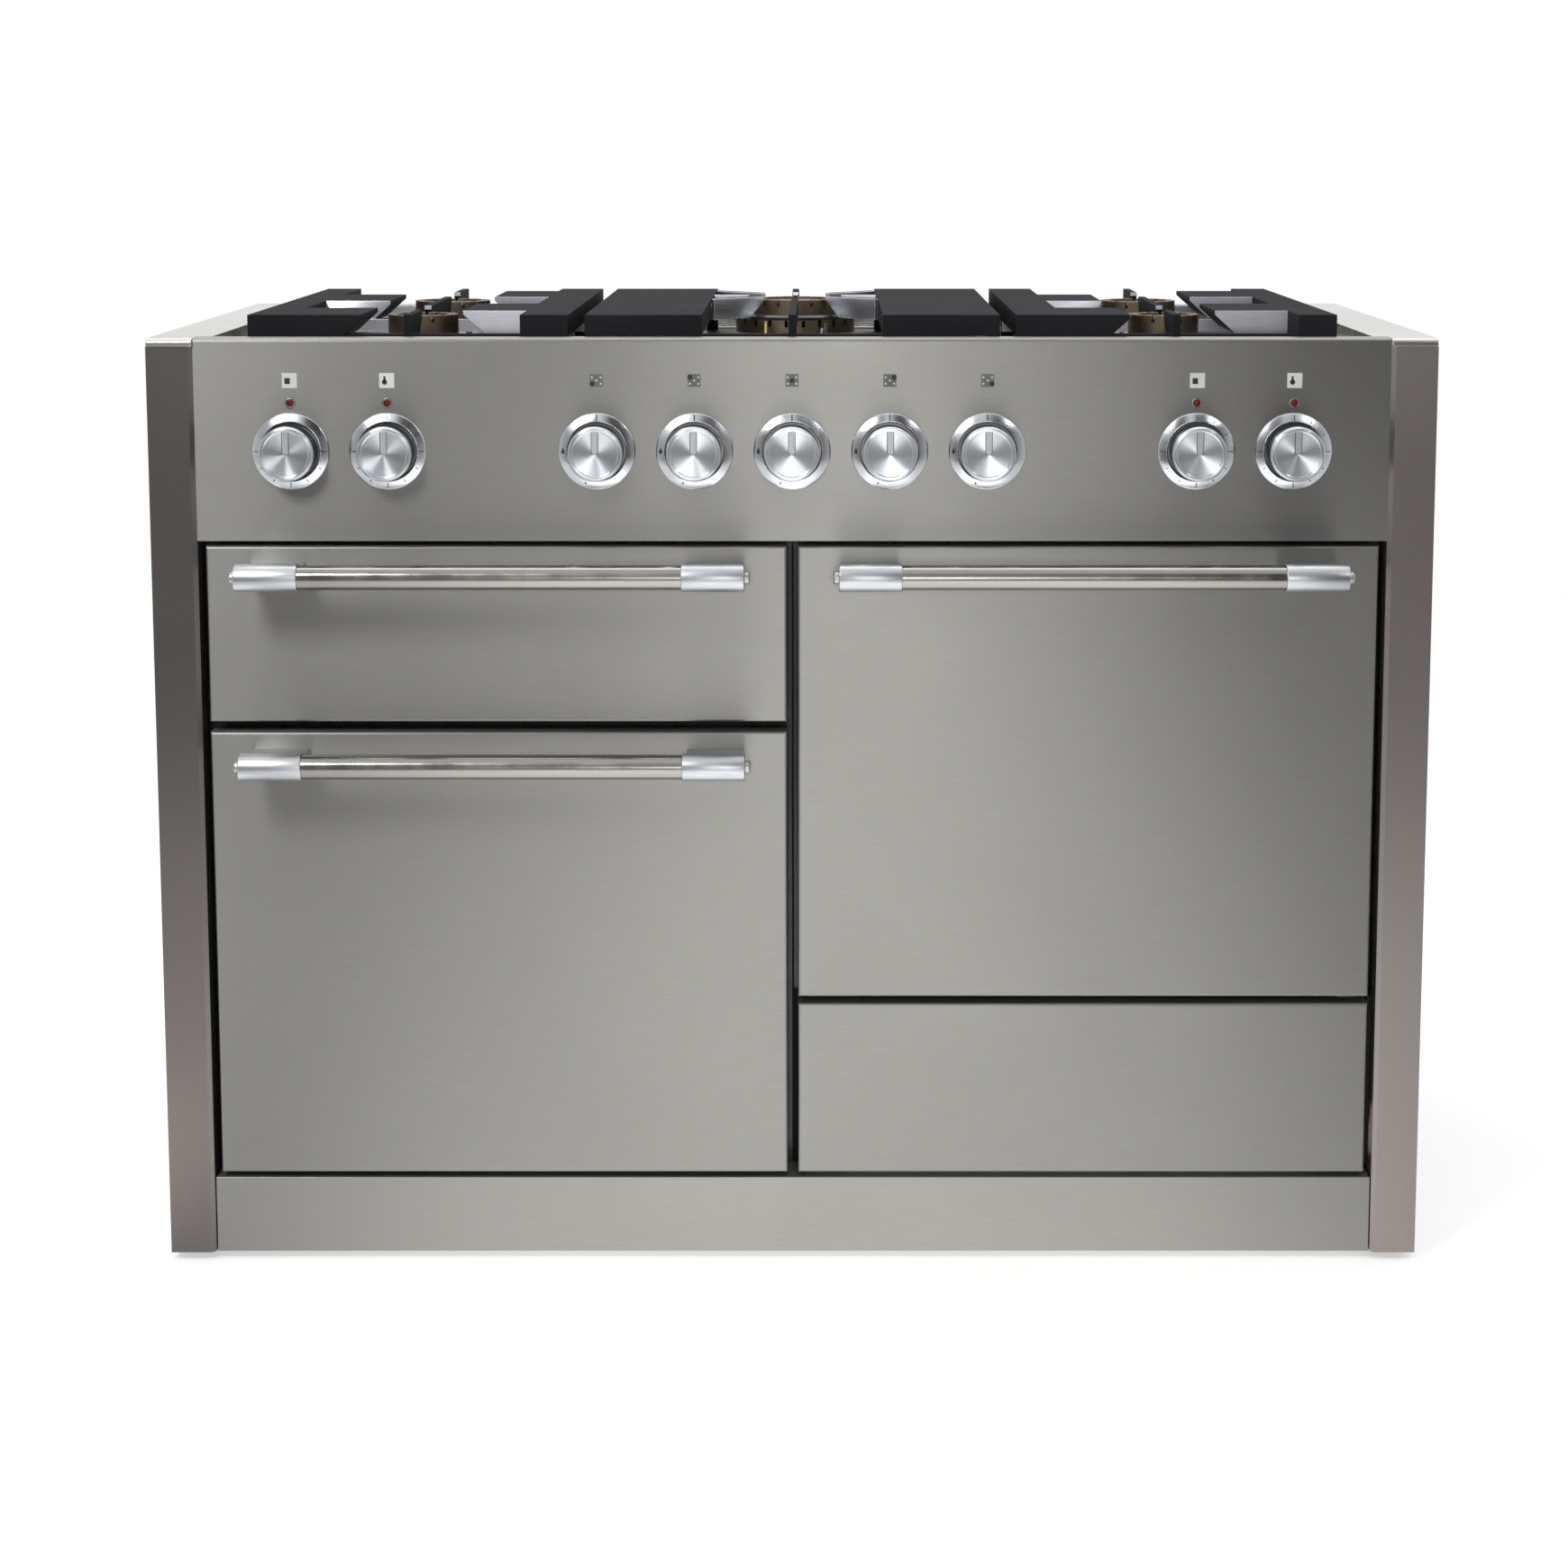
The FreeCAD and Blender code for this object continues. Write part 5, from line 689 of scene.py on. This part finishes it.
def laid(points, middle, turn):
    """Turns points about the origin and moves them to a middle."""
    return [(middle[0] + x * math.cos(turn) - y * math.sin(turn),
             middle[1] + x * math.sin(turn) + y * math.cos(turn)) for x, y in points]


def rectangle(width, height, middle=(0, 0), turn=0.0):
    corners = ((-1, -1), (1, -1), (1, 1), (-1, 1))
    return laid([(x * width / 2, y * height / 2) for x, y in corners], middle, turn)


def flame(size, turn=0.0):
    return laid([(x * size / 2, y * size / 2) for x, y in FLAME_OUTLINE], (0, 0), turn)


def disc(radius, middle, segments=20):
    return [(middle[0] + radius * math.cos(FULL_TURN * step / segments),
             middle[1] + radius * math.sin(FULL_TURN * step / segments)) for step in range(segments)]


# Controls


def on_fascia(node, rise=0.0):
    """The place on the fascia's front behind a control, or above that by rise."""
    low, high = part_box(node)
    return ((low[0] + high[0]) / 2, CONTROL_FACE, (low[2] + high[2]) / 2 + rise)


def knob(node, body):
    """A knob with a lathe-turned face and bevel, a near-black grip wall that is partly painted shade, a
    raised pointer bar in a black groove of painted shade, and a spindle.
    """
    low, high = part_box(node)
    back = CONTROL_FACE - KNOB_GAP
    depth = back - low[1]
    reach = high[1] - back
    crown = depth - CROWN_DEPTH
    grip = KNOB_RADIUS - GRIP_INSET
    place = ((low[0] + high[0]) / 2, back, (low[2] + high[2]) / 2)

    face_profile = rounded([
        (0, crown), (KNOB_RADIUS - CROWN_INSET, crown), (KNOB_RADIUS, crown + CROWN_EDGE),
        (KNOB_RADIUS, depth - KNOB_CHAMFER), (KNOB_RADIUS - KNOB_CHAMFER, depth), (KNOB_FACE, depth),
        (KNOB_FACE - DISH_RIM, depth - DISH_RIM), (0, depth - DISH_DEPTH),
    ], CROWN_ROUNDING)
    grip_profile = rounded([(0, 0), (grip, 0), (grip, crown), (0, crown)], GRIP_ROUNDING)
    spindle_profile = rounded([
        (0, 0), (SPINDLE_RADIUS, 0), (SPINDLE_RADIUS, SPINDLE_CHAMFER - reach),
        (SPINDLE_RADIUS - SPINDLE_CHAMFER, -reach), (0, -reach),
    ], SPINDLE_ROUNDING)
    for name, profile, segments, material, replaces in (
        ("face", face_profile, ROUND_SEGMENTS, FINISHES["knob_aluminium"], (node,)),
        ("grip", grip_profile, ROUND_SEGMENTS, GRIP_DARK_AND_SHADE, ()),
        ("spindle", spindle_profile, SLIM_SEGMENTS, SPINDLE_STEEL, ()),
    ):
        mesh = bmesh.new()
        lathe(mesh, profile, axis="front", segments=segments)
        piece(f"{node}_{name}", mesh, material, body, replaces, place)

    # The groove round the pointer is a black plate under the bar: painted shade
    for name, margin, height, material in (
        ("pointer", (0, 0), POINTER_HEIGHT, POINTER_SATIN),
        ("groove", GROOVE_MARGIN, GROOVE_HEIGHT, PRINT_AND_SHADE_BLACK),
    ):
        outline = rectangle(POINTER_WIDTH + margin[0], KNOB_FACE - POINTER_END + margin[1],
                            (0, KNOB_FACE / 2))
        mesh = bmesh.new()
        plate(mesh, outline, (0, POINTER_SINK - depth, 0), height)
        piece(f"{node}_{name}", mesh, material, body, place=place)


def bezels():
    """Polished rings that slope up to a rounded inner edge."""
    mesh = bmesh.new()
    profile = rounded([
        (BEZEL_INNER, 0), (BEZEL_RADIUS, 0), (BEZEL_RADIUS, BEZEL_WALL),
        (BEZEL_RADIUS - SHOULDER_INSET, SHOULDER_HEIGHT), (BEZEL_INNER + CREST_EDGE, BEZEL_HEIGHT),
        (BEZEL_INNER + INNER_EDGE, BEZEL_HEIGHT - INNER_EDGE),
        (BEZEL_INNER, BEZEL_HEIGHT - CREST_EDGE), (BEZEL_INNER, 0),
    ], BEZEL_ROUNDING)
    for node in GAS_KNOBS + ELECTRIC_KNOBS:
        lathe(mesh, profile, on_fascia(node), "front")
    piece("bezel_rings", mesh, FINISHES["bezel_chrome"], "cabinet", replaces=("knob_bezels",))


def bezel_mark(mesh, node, outline, clock):
    """Lays an outline on a bezel's slope, at an angle clockwise from the top, with its +Y outwards."""
    part = bmesh.new()
    plate(part, outline, (0, 0, 0), MARK_HEIGHT, "Z")
    tilt = Matrix.Rotation(-BEZEL_SLOPE, 4, "X")
    lift = Matrix.Translation((0, (BEZEL_RADIUS + BEZEL_INNER) / 2,
                               (BEZEL_HEIGHT + SHOULDER_HEIGHT) / 2 + MARK_LIFT))
    turn = Matrix.Rotation(-math.radians(clock), 4, "Z")
    copy_into(part, mesh, Matrix.Translation(on_fascia(node)) @ AXES["front"] @ turn @ lift @ tilt)


def bezel_marks():
    """Dark filled marks: flames and an off tick for gas, a scale of ticks for the ovens."""
    mesh = bmesh.new()
    upright_flame = flame(LARGE_FLAME, math.radians(LARGE_FLAME_CLOCK))
    for node in GAS_KNOBS:
        bezel_mark(mesh, node, rectangle(*OFF_TICK), 0)
        bezel_mark(mesh, node, upright_flame, LARGE_FLAME_CLOCK)
        bezel_mark(mesh, node, flame(SMALL_FLAME), SMALL_FLAME_CLOCK)
    for node in ELECTRIC_KNOBS:
        for step in range(SCALE_TICKS):
            tick = SHORT_TICK if step % LONG_TICK_EVERY else LONG_TICK
            bezel_mark(mesh, node, rectangle(*tick), TICK_STEP * step)
    piece("bezel_marks", mesh, PRINT_AND_SHADE_BLACK, "cabinet")


def icon_plates():
    """Small enamelled plates above the knobs: a hob plan with one burner filled, or an oven's sign."""
    pale = bmesh.new()
    dark = bmesh.new()
    grey = bmesh.new()
    for number, node in enumerate(GAS_KNOBS):
        place = on_fascia(node, ICON_RISE)
        raised = (place[0], place[1] - MARK_HEIGHT, place[2])
        plate(grey, rectangle(PLAN_SIZE, PLAN_SIZE), place, MARK_HEIGHT)
        for spot, middle in enumerate(PLAN_SPOTS):
            if spot == number:
                plate(dark, disc(LARGE_SPOT_RADIUS, middle), raised, MARK_HEIGHT)
            else:
                plate(pale, disc(SPOT_RADIUS, middle), raised, MARK_HEIGHT)
    for number, node in enumerate(ELECTRIC_KNOBS):
        place = on_fascia(node, ICON_RISE)
        raised = (place[0], place[1] - MARK_HEIGHT, place[2])
        plate(pale, rectangle(ICON_SIZE, ICON_SIZE), place, MARK_HEIGHT)
        if number % 2:
            plate(dark, disc(LARGE_SPOT_RADIUS, BULB_PLACE), raised, MARK_HEIGHT)
            plate(dark, rectangle(*STEM_SIZE, STEM_PLACE), raised, MARK_HEIGHT)
        else:
            plate(dark, rectangle(*WINDOW_SIZE, WINDOW_PLACE), raised, MARK_HEIGHT)
    piece("icon_dark", dark, PRINT_AND_SHADE_BLACK, "cabinet")
    piece("icon_grey", grey, ICON_GREY, "cabinet")
    piece("icon_pale", pale, PALE_PLATE, "cabinet")


def indicator_lamps():
    """Small domed red lenses in thin collars, with the neon barrel behind the fascia."""
    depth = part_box("indicator_lamps")[1][1] - CONTROL_FACE
    dome = [(LENS_RADIUS * math.cos(math.radians(angle)),
             LENS_EDGE + DOME_HEIGHT * math.sin(math.radians(angle))) for angle in range(0, 91, DOME_STEP)]
    edge, crest, lip = COLLAR_HEIGHTS
    collar = rounded([
        (COLLAR_INNER, 0), (COLLAR_RADIUS, 0), (COLLAR_RADIUS, edge), (COLLAR_CREST, crest),
        (COLLAR_INNER, lip), (COLLAR_INNER, 0),
    ], COLLAR_ROUNDING)
    glass = bmesh.new()
    collars = bmesh.new()
    for node in ELECTRIC_KNOBS:
        place = on_fascia(node, LAMP_RISE)
        lathe(glass, [(0, -depth), (LENS_RADIUS, -depth), *dome], place, "front", SMALL_SEGMENTS)
        lathe(collars, collar, place, "front", SMALL_SEGMENTS)
    piece("lamp_lenses", glass, FINISHES["lamp_red"], "cabinet", replaces=("indicator_lamps",))
    piece("lamp_collars", collars, FINISHES["brushed_steel"], "cabinet")


# Handles


def handle(node, body):
    """A polished bar held by satin end sleeves, each with a plugged end and a flat arm."""
    low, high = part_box(node)
    y = low[1] + SLEEVE_RADIUS
    z = low[2] + SLEEVE_RADIUS
    inset = SLEEVE_LENGTH - BAR_SOCKET
    length = high[0] - low[0] - 2 * inset
    side_points = [(BAR_RADIUS, length * step / BAR_RINGS) for step in range(BAR_RINGS + 1)]
    bar = bmesh.new()
    lathe(bar, [(0, 0), *side_points, (0, length)], (low[0] + inset, y, z), "X")
    piece(f"{node}_bar", bar, FINISHES["handle_chrome"], body, replaces=(node,))

    recess = SLEEVE_RADIUS - SLEEVE_RIM
    mouth = BAR_RADIUS - BAR_FIT
    sleeve = rounded([
        (0, SLEEVE_RECESS), (recess, SLEEVE_RECESS), (recess, 0), (SLEEVE_RADIUS, 0),
        (SLEEVE_RADIUS, SLEEVE_LENGTH), (mouth, SLEEVE_LENGTH),
        (mouth, SLEEVE_LENGTH - MOUTH_DEPTH), (0, SLEEVE_LENGTH - MOUTH_DEPTH),
    ], SLEEVE_ROUNDING)
    plug = rounded([
        (0, -PLUG_LENGTH), (PLUG_RADIUS - PLUG_CHAMFER, -PLUG_LENGTH),
        (PLUG_RADIUS, PLUG_CHAMFER - PLUG_LENGTH), (PLUG_RADIUS, PLUG_ROOT), (0, PLUG_ROOT),
    ], PLUG_ROUNDING)
    sleeves = bmesh.new()
    plugs = bmesh.new()
    for side, end in ((1, low[0]), (-1, high[0])):
        turn = Matrix.Translation((end, y, z)) @ Matrix.Diagonal((side, 1, 1, 1))
        lathe_into(sleeves, sleeve, turn, "X")
        lathe_into(plugs, plug, turn, "X", SMALL_SEGMENTS)
        left, right = sorted((end + side * ARM_GAP, end + side * (SLEEVE_LENGTH - ARM_GAP)))
        slab(sleeves, (left, y, z - ARM_THICKNESS / 2), (right, high[1], z + ARM_THICKNESS / 2), ARM_EDGE)
    piece(f"{node}_sleeves", sleeves, SLEEVE_SATIN, body)
    piece(f"{node}_plugs", plugs, SPINDLE_STEEL, body)


# Hob


def support(side):
    """A cast support with rounded edges; the front flanks of its prongs carry a painted highlight in pale
    metal.
    """
    thing = softened(f"pan_support_{side}", f"support_{side}", FINISHES["cast_iron"],
                     SUPPORT_EDGE)
    thing.data.materials.append(FLANK_SHEEN)
    front, back = FLANK_SPAN
    for face in thing.data.polygons:
        steep = face.normal.y < -FLANK_SLOPE
        high_enough = face.center.z > TRAY_FLOOR + FLANK_RISE
        if steep and high_enough and front < face.center.y < back:
            face.material_index = 1


def spark_parts():
    """White ceramic sleeves round the electrodes, and a brass sensor at each burner's other side."""
    ceramic = bmesh.new()
    sensors = bmesh.new()
    for x, y, radius in BURNERS.values():
        away = radius + SPARK_DISTANCE
        aside = away * math.sin(SPARK_TURN)
        front = y - away * math.cos(SPARK_TURN)
        lathe(ceramic, rounded(SLEEVE_OUTLINE, CERAMIC_ROUNDING), (x + aside, front, TRAY_FLOOR),
              segments=SLIM_SEGMENTS)
        lathe(sensors, rounded(SENSOR_OUTLINE, SENSOR_ROUNDING), (x - aside, front, TRAY_FLOOR),
              segments=HEXAGON)
    piece("spark_ceramics", ceramic, CERAMIC, "cabinet")
    piece("flame_sensors", sensors, FINISHES["brass"], "cabinet")


# Trim of the body


def drawer_gap_shade():
    """Painted shade: a stepped black strip in seal rubber behind the gap between the drawer front and the
    right post, keeping the gap dark.
    """
    low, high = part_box("drawer_front")
    left, bottom, top = high[0] + GAP_SHADE_OFFSET, low[2], high[2]
    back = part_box("front_posts")[1][1]
    mesh = bmesh.new()
    slab(mesh, (left, back, bottom), (left + GAP_SHADE_WIDTH, back + GAP_SHADE_DEPTH, top), GAP_SHADE_EDGE)
    slab(mesh, (left, back + GAP_SHADE_DEPTH / 2, bottom),
         (left + GAP_SHADE_WIDTH / 2, back + 1.5 * GAP_SHADE_DEPTH, top), GAP_SHADE_EDGE)
    piece("drawer_gap_shade", mesh, FINISHES["seal_rubber"], "cabinet")


def back_screws():
    """Pan-head screws round the edge of the back panel, each with a cross recess drawn as a thin black cross
    of painted shade.
    """
    low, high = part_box("back_panel")
    left, right = low[0] + SCREW_INSET, high[0] - SCREW_INSET
    bottom, top = low[2] + SCREW_INSET, high[2] - SCREW_INSET
    across, up = SCREW_SPACES
    places = [(left + (right - left) * step / across, z) for step in range(across + 1) for z in (bottom, top)]
    places += [(x, bottom + (top - bottom) * step / up) for step in range(1, up) for x in (left, right)]
    head = rounded([
        (0, SCREW_HEIGHT), (SCREW_RADIUS * SCREW_CREST_SHARE, SCREW_HEIGHT),
        (SCREW_RADIUS, SCREW_HEIGHT / 2), (SCREW_RADIUS, 0), (0, 0),
    ], SCREW_ROUNDING)
    heads = bmesh.new()
    crosses = bmesh.new()
    for x, z in places:
        about = Matrix.Translation((x, high[1], z)) @ Matrix.Rotation(math.pi, 4, "Z")
        lathe_into(heads, head, about, "front", SLIM_SEGMENTS)
        # Each cross recess: a thin black plate on the head, painted shade
        for turn in (0, math.pi / 2):
            part = bmesh.new()
            plate(part, rectangle(*CROSS_BAR, turn=turn + CROSS_TURN), (0, -SCREW_HEIGHT, 0), MARK_HEIGHT / 2)
            copy_into(part, crosses, about)
    piece("back_screw_heads", heads, SPINDLE_STEEL, "cabinet")
    piece("back_screw_cross_shade", crosses, PRINT_AND_SHADE_BLACK, "cabinet")


# Studio


def studio():
    """A floor that takes the shadow, white surroundings and the lamps."""
    floor()
    world_light()
    for name, place, aim, size, power in STUDIO_LAMPS:
        data = bpy.data.lights.new(name, "AREA")
        data.shape = "RECTANGLE"
        data.size, data.size_y = size
        data.energy = power
        lamp = bpy.data.objects.new(name, data)
        lamp.location = place
        lamp.rotation_euler = (Vector(aim) - Vector(place)).to_track_quat("-Z", "Y").to_euler()
        bpy.context.collection.objects.link(lamp)


def floor():
    mesh = bmesh.new()
    corners = ((-FLOOR_REACH, -FLOOR_FRONT), (FLOOR_REACH, -FLOOR_FRONT),
               (FLOOR_REACH, FLOOR_REACH), (-FLOOR_REACH, FLOOR_REACH))
    mesh.faces.new([mesh.verts.new((x, y, 0)) for x, y in corners])
    data = bpy.data.meshes.new("floor")
    mesh.to_mesh(data)
    mesh.free()
    data.materials.append(floor_paint())
    thing = bpy.data.objects.new("floor", data)
    bpy.context.collection.objects.link(thing)


def floor_paint():
    """Pale paint that glows evenly to the camera and, in its bright patches, to reflections."""
    finish = Finish("floor_paint", Roughness=0.9, Emission_Color=(*WHITE, 1))
    tree = finish.tree
    mottle = finish.noise((4, 4, 4), detail=3.0)
    finish.drive("Base Color", finish.colours(mottle, *FLOOR_TONES))
    place = finish.node("ShaderNodeTexCoord")
    apart = finish.node("ShaderNodeSeparateXYZ", {0: place.outputs["Object"]})
    x, y = apart.outputs["X"], apart.outputs["Y"]
    near = combine(tree, "MULTIPLY", smooth_step(tree, x, *NEAR_LEFT),
                   smooth_step(tree, x, *NEAR_RIGHT, start=1.0, end=0.0))
    near = combine(tree, "MULTIPLY", near, smooth_step(tree, y, *NEAR_FRONT))
    patch = combine(tree, "MAXIMUM", smooth_step(tree, x, *PATCH_LEFT), near)
    patch = combine(tree, "MULTIPLY", patch, smooth_step(tree, x, *PATCH_RIGHT, start=PATCH_GLOW, end=0.0))
    path = finish.node("ShaderNodeLightPath")
    seen = smooth_step(tree, path.outputs["Is Camera Ray"], 0.0, 1.0, 0.0, FLOOR_GLOW)
    reflected = combine(tree, "MULTIPLY", path.outputs["Is Glossy Ray"], patch)
    finish.drive("Emission Strength", combine(tree, "ADD", seen, reflected))
    return finish.material


def world_light():
    """Plain grey light on the object; the camera, reflections and panes of glass see the surroundings."""
    world = bpy.data.worlds.new("studio")
    world.use_nodes = True
    bpy.context.scene.world = world
    tree = world.node_tree
    plain = tree.nodes["Background"]
    plain.inputs["Color"].default_value = (*WORLD_GREY, 1)
    seen = tree.nodes.new("ShaderNodeBackground")
    tree.links.new(surroundings(tree), seen.inputs["Color"])
    mix = tree.nodes.new("ShaderNodeMixShader")
    tree.links.new(seen_rays(tree), mix.inputs[0])
    tree.links.new(plain.outputs[0], mix.inputs[1])
    tree.links.new(seen.outputs[0], mix.inputs[2])
    tree.links.new(mix.outputs[0], tree.nodes["World Output"].inputs["Surface"])


def seen_rays(tree):
    """One where the ray comes from the camera or from a reflection or a pane of glass."""
    path = tree.nodes.new("ShaderNodeLightPath")
    total = path.outputs["Is Camera Ray"]
    for other in ("Is Glossy Ray", "Is Transmission Ray"):
        total = combine(tree, "MAXIMUM", total, path.outputs[other])
    return total


def surroundings(tree):
    """White to the camera, behind the object and above; in front, reflections see FRONT_TONES."""
    place = tree.nodes.new("ShaderNodeTexCoord")
    apart = tree.nodes.new("ShaderNodeSeparateXYZ")
    tree.links.new(place.outputs["Generated"], apart.inputs[0])
    across = tree.nodes.new("ShaderNodeMapRange")
    across.inputs["From Min"].default_value = -1
    tree.links.new(apart.outputs["X"], across.inputs["Value"])
    front = tree.nodes.new("ShaderNodeValToRGB")
    tree.links.new(across.outputs[0], front.inputs["Fac"])
    stops = front.color_ramp.elements
    while len(stops) < len(FRONT_TONES):
        stops.new(0.5)
    for stop, (x, level) in zip(stops, FRONT_TONES):
        stop.position = (x + 1) / 2
        stop.color = (level, level, level, 1)
    ceiling = smooth_step(tree, apart.outputs["Z"], *CEILING_EDGE)
    back = smooth_step(tree, apart.outputs["Y"], *BACK_EDGE)
    around = blend_colours(tree, back, blend_colours(tree, ceiling, front.outputs["Color"], WHITE), WHITE)
    path = tree.nodes.new("ShaderNodeLightPath")
    return blend_colours(tree, path.outputs["Is Camera Ray"], around, WHITE)


def camera():
    data = bpy.data.cameras.new("camera")
    data.lens = CAMERA_LENS
    data.shift_x, data.shift_y = CAMERA_SHIFT
    thing = bpy.data.objects.new("camera", data)
    thing.location = CAMERA_PLACE
    thing.rotation_euler = (math.pi / 2 - CAMERA_PITCH, 0, 0)
    bpy.context.collection.objects.link(thing)
    bpy.context.scene.camera = thing


camera()
studio()
dress_nodes()
for name in GAS_KNOBS:
    knob(name, name.replace("gas_knob", "gas_control"))
for name in ELECTRIC_KNOBS:
    knob(name, name.replace("oven_knob", "oven_control"))
bezels()
bezel_marks()
icon_plates()
indicator_lamps()
for name, holder in HANDLES.items():
    handle(name, holder)
for name in ("left", "centre", "right"):
    support(name)
spark_parts()
drawer_gap_shade()
back_screws()
softened("hob_tray", "cabinet", FINISHES["hob_steel"], TRAY_EDGE)
softened("plinth", "cabinet", PLINTH_PAINTED_LIGHT, PLINTH_EDGE)

settings = bpy.context.scene.view_settings
settings.view_transform = "Standard"
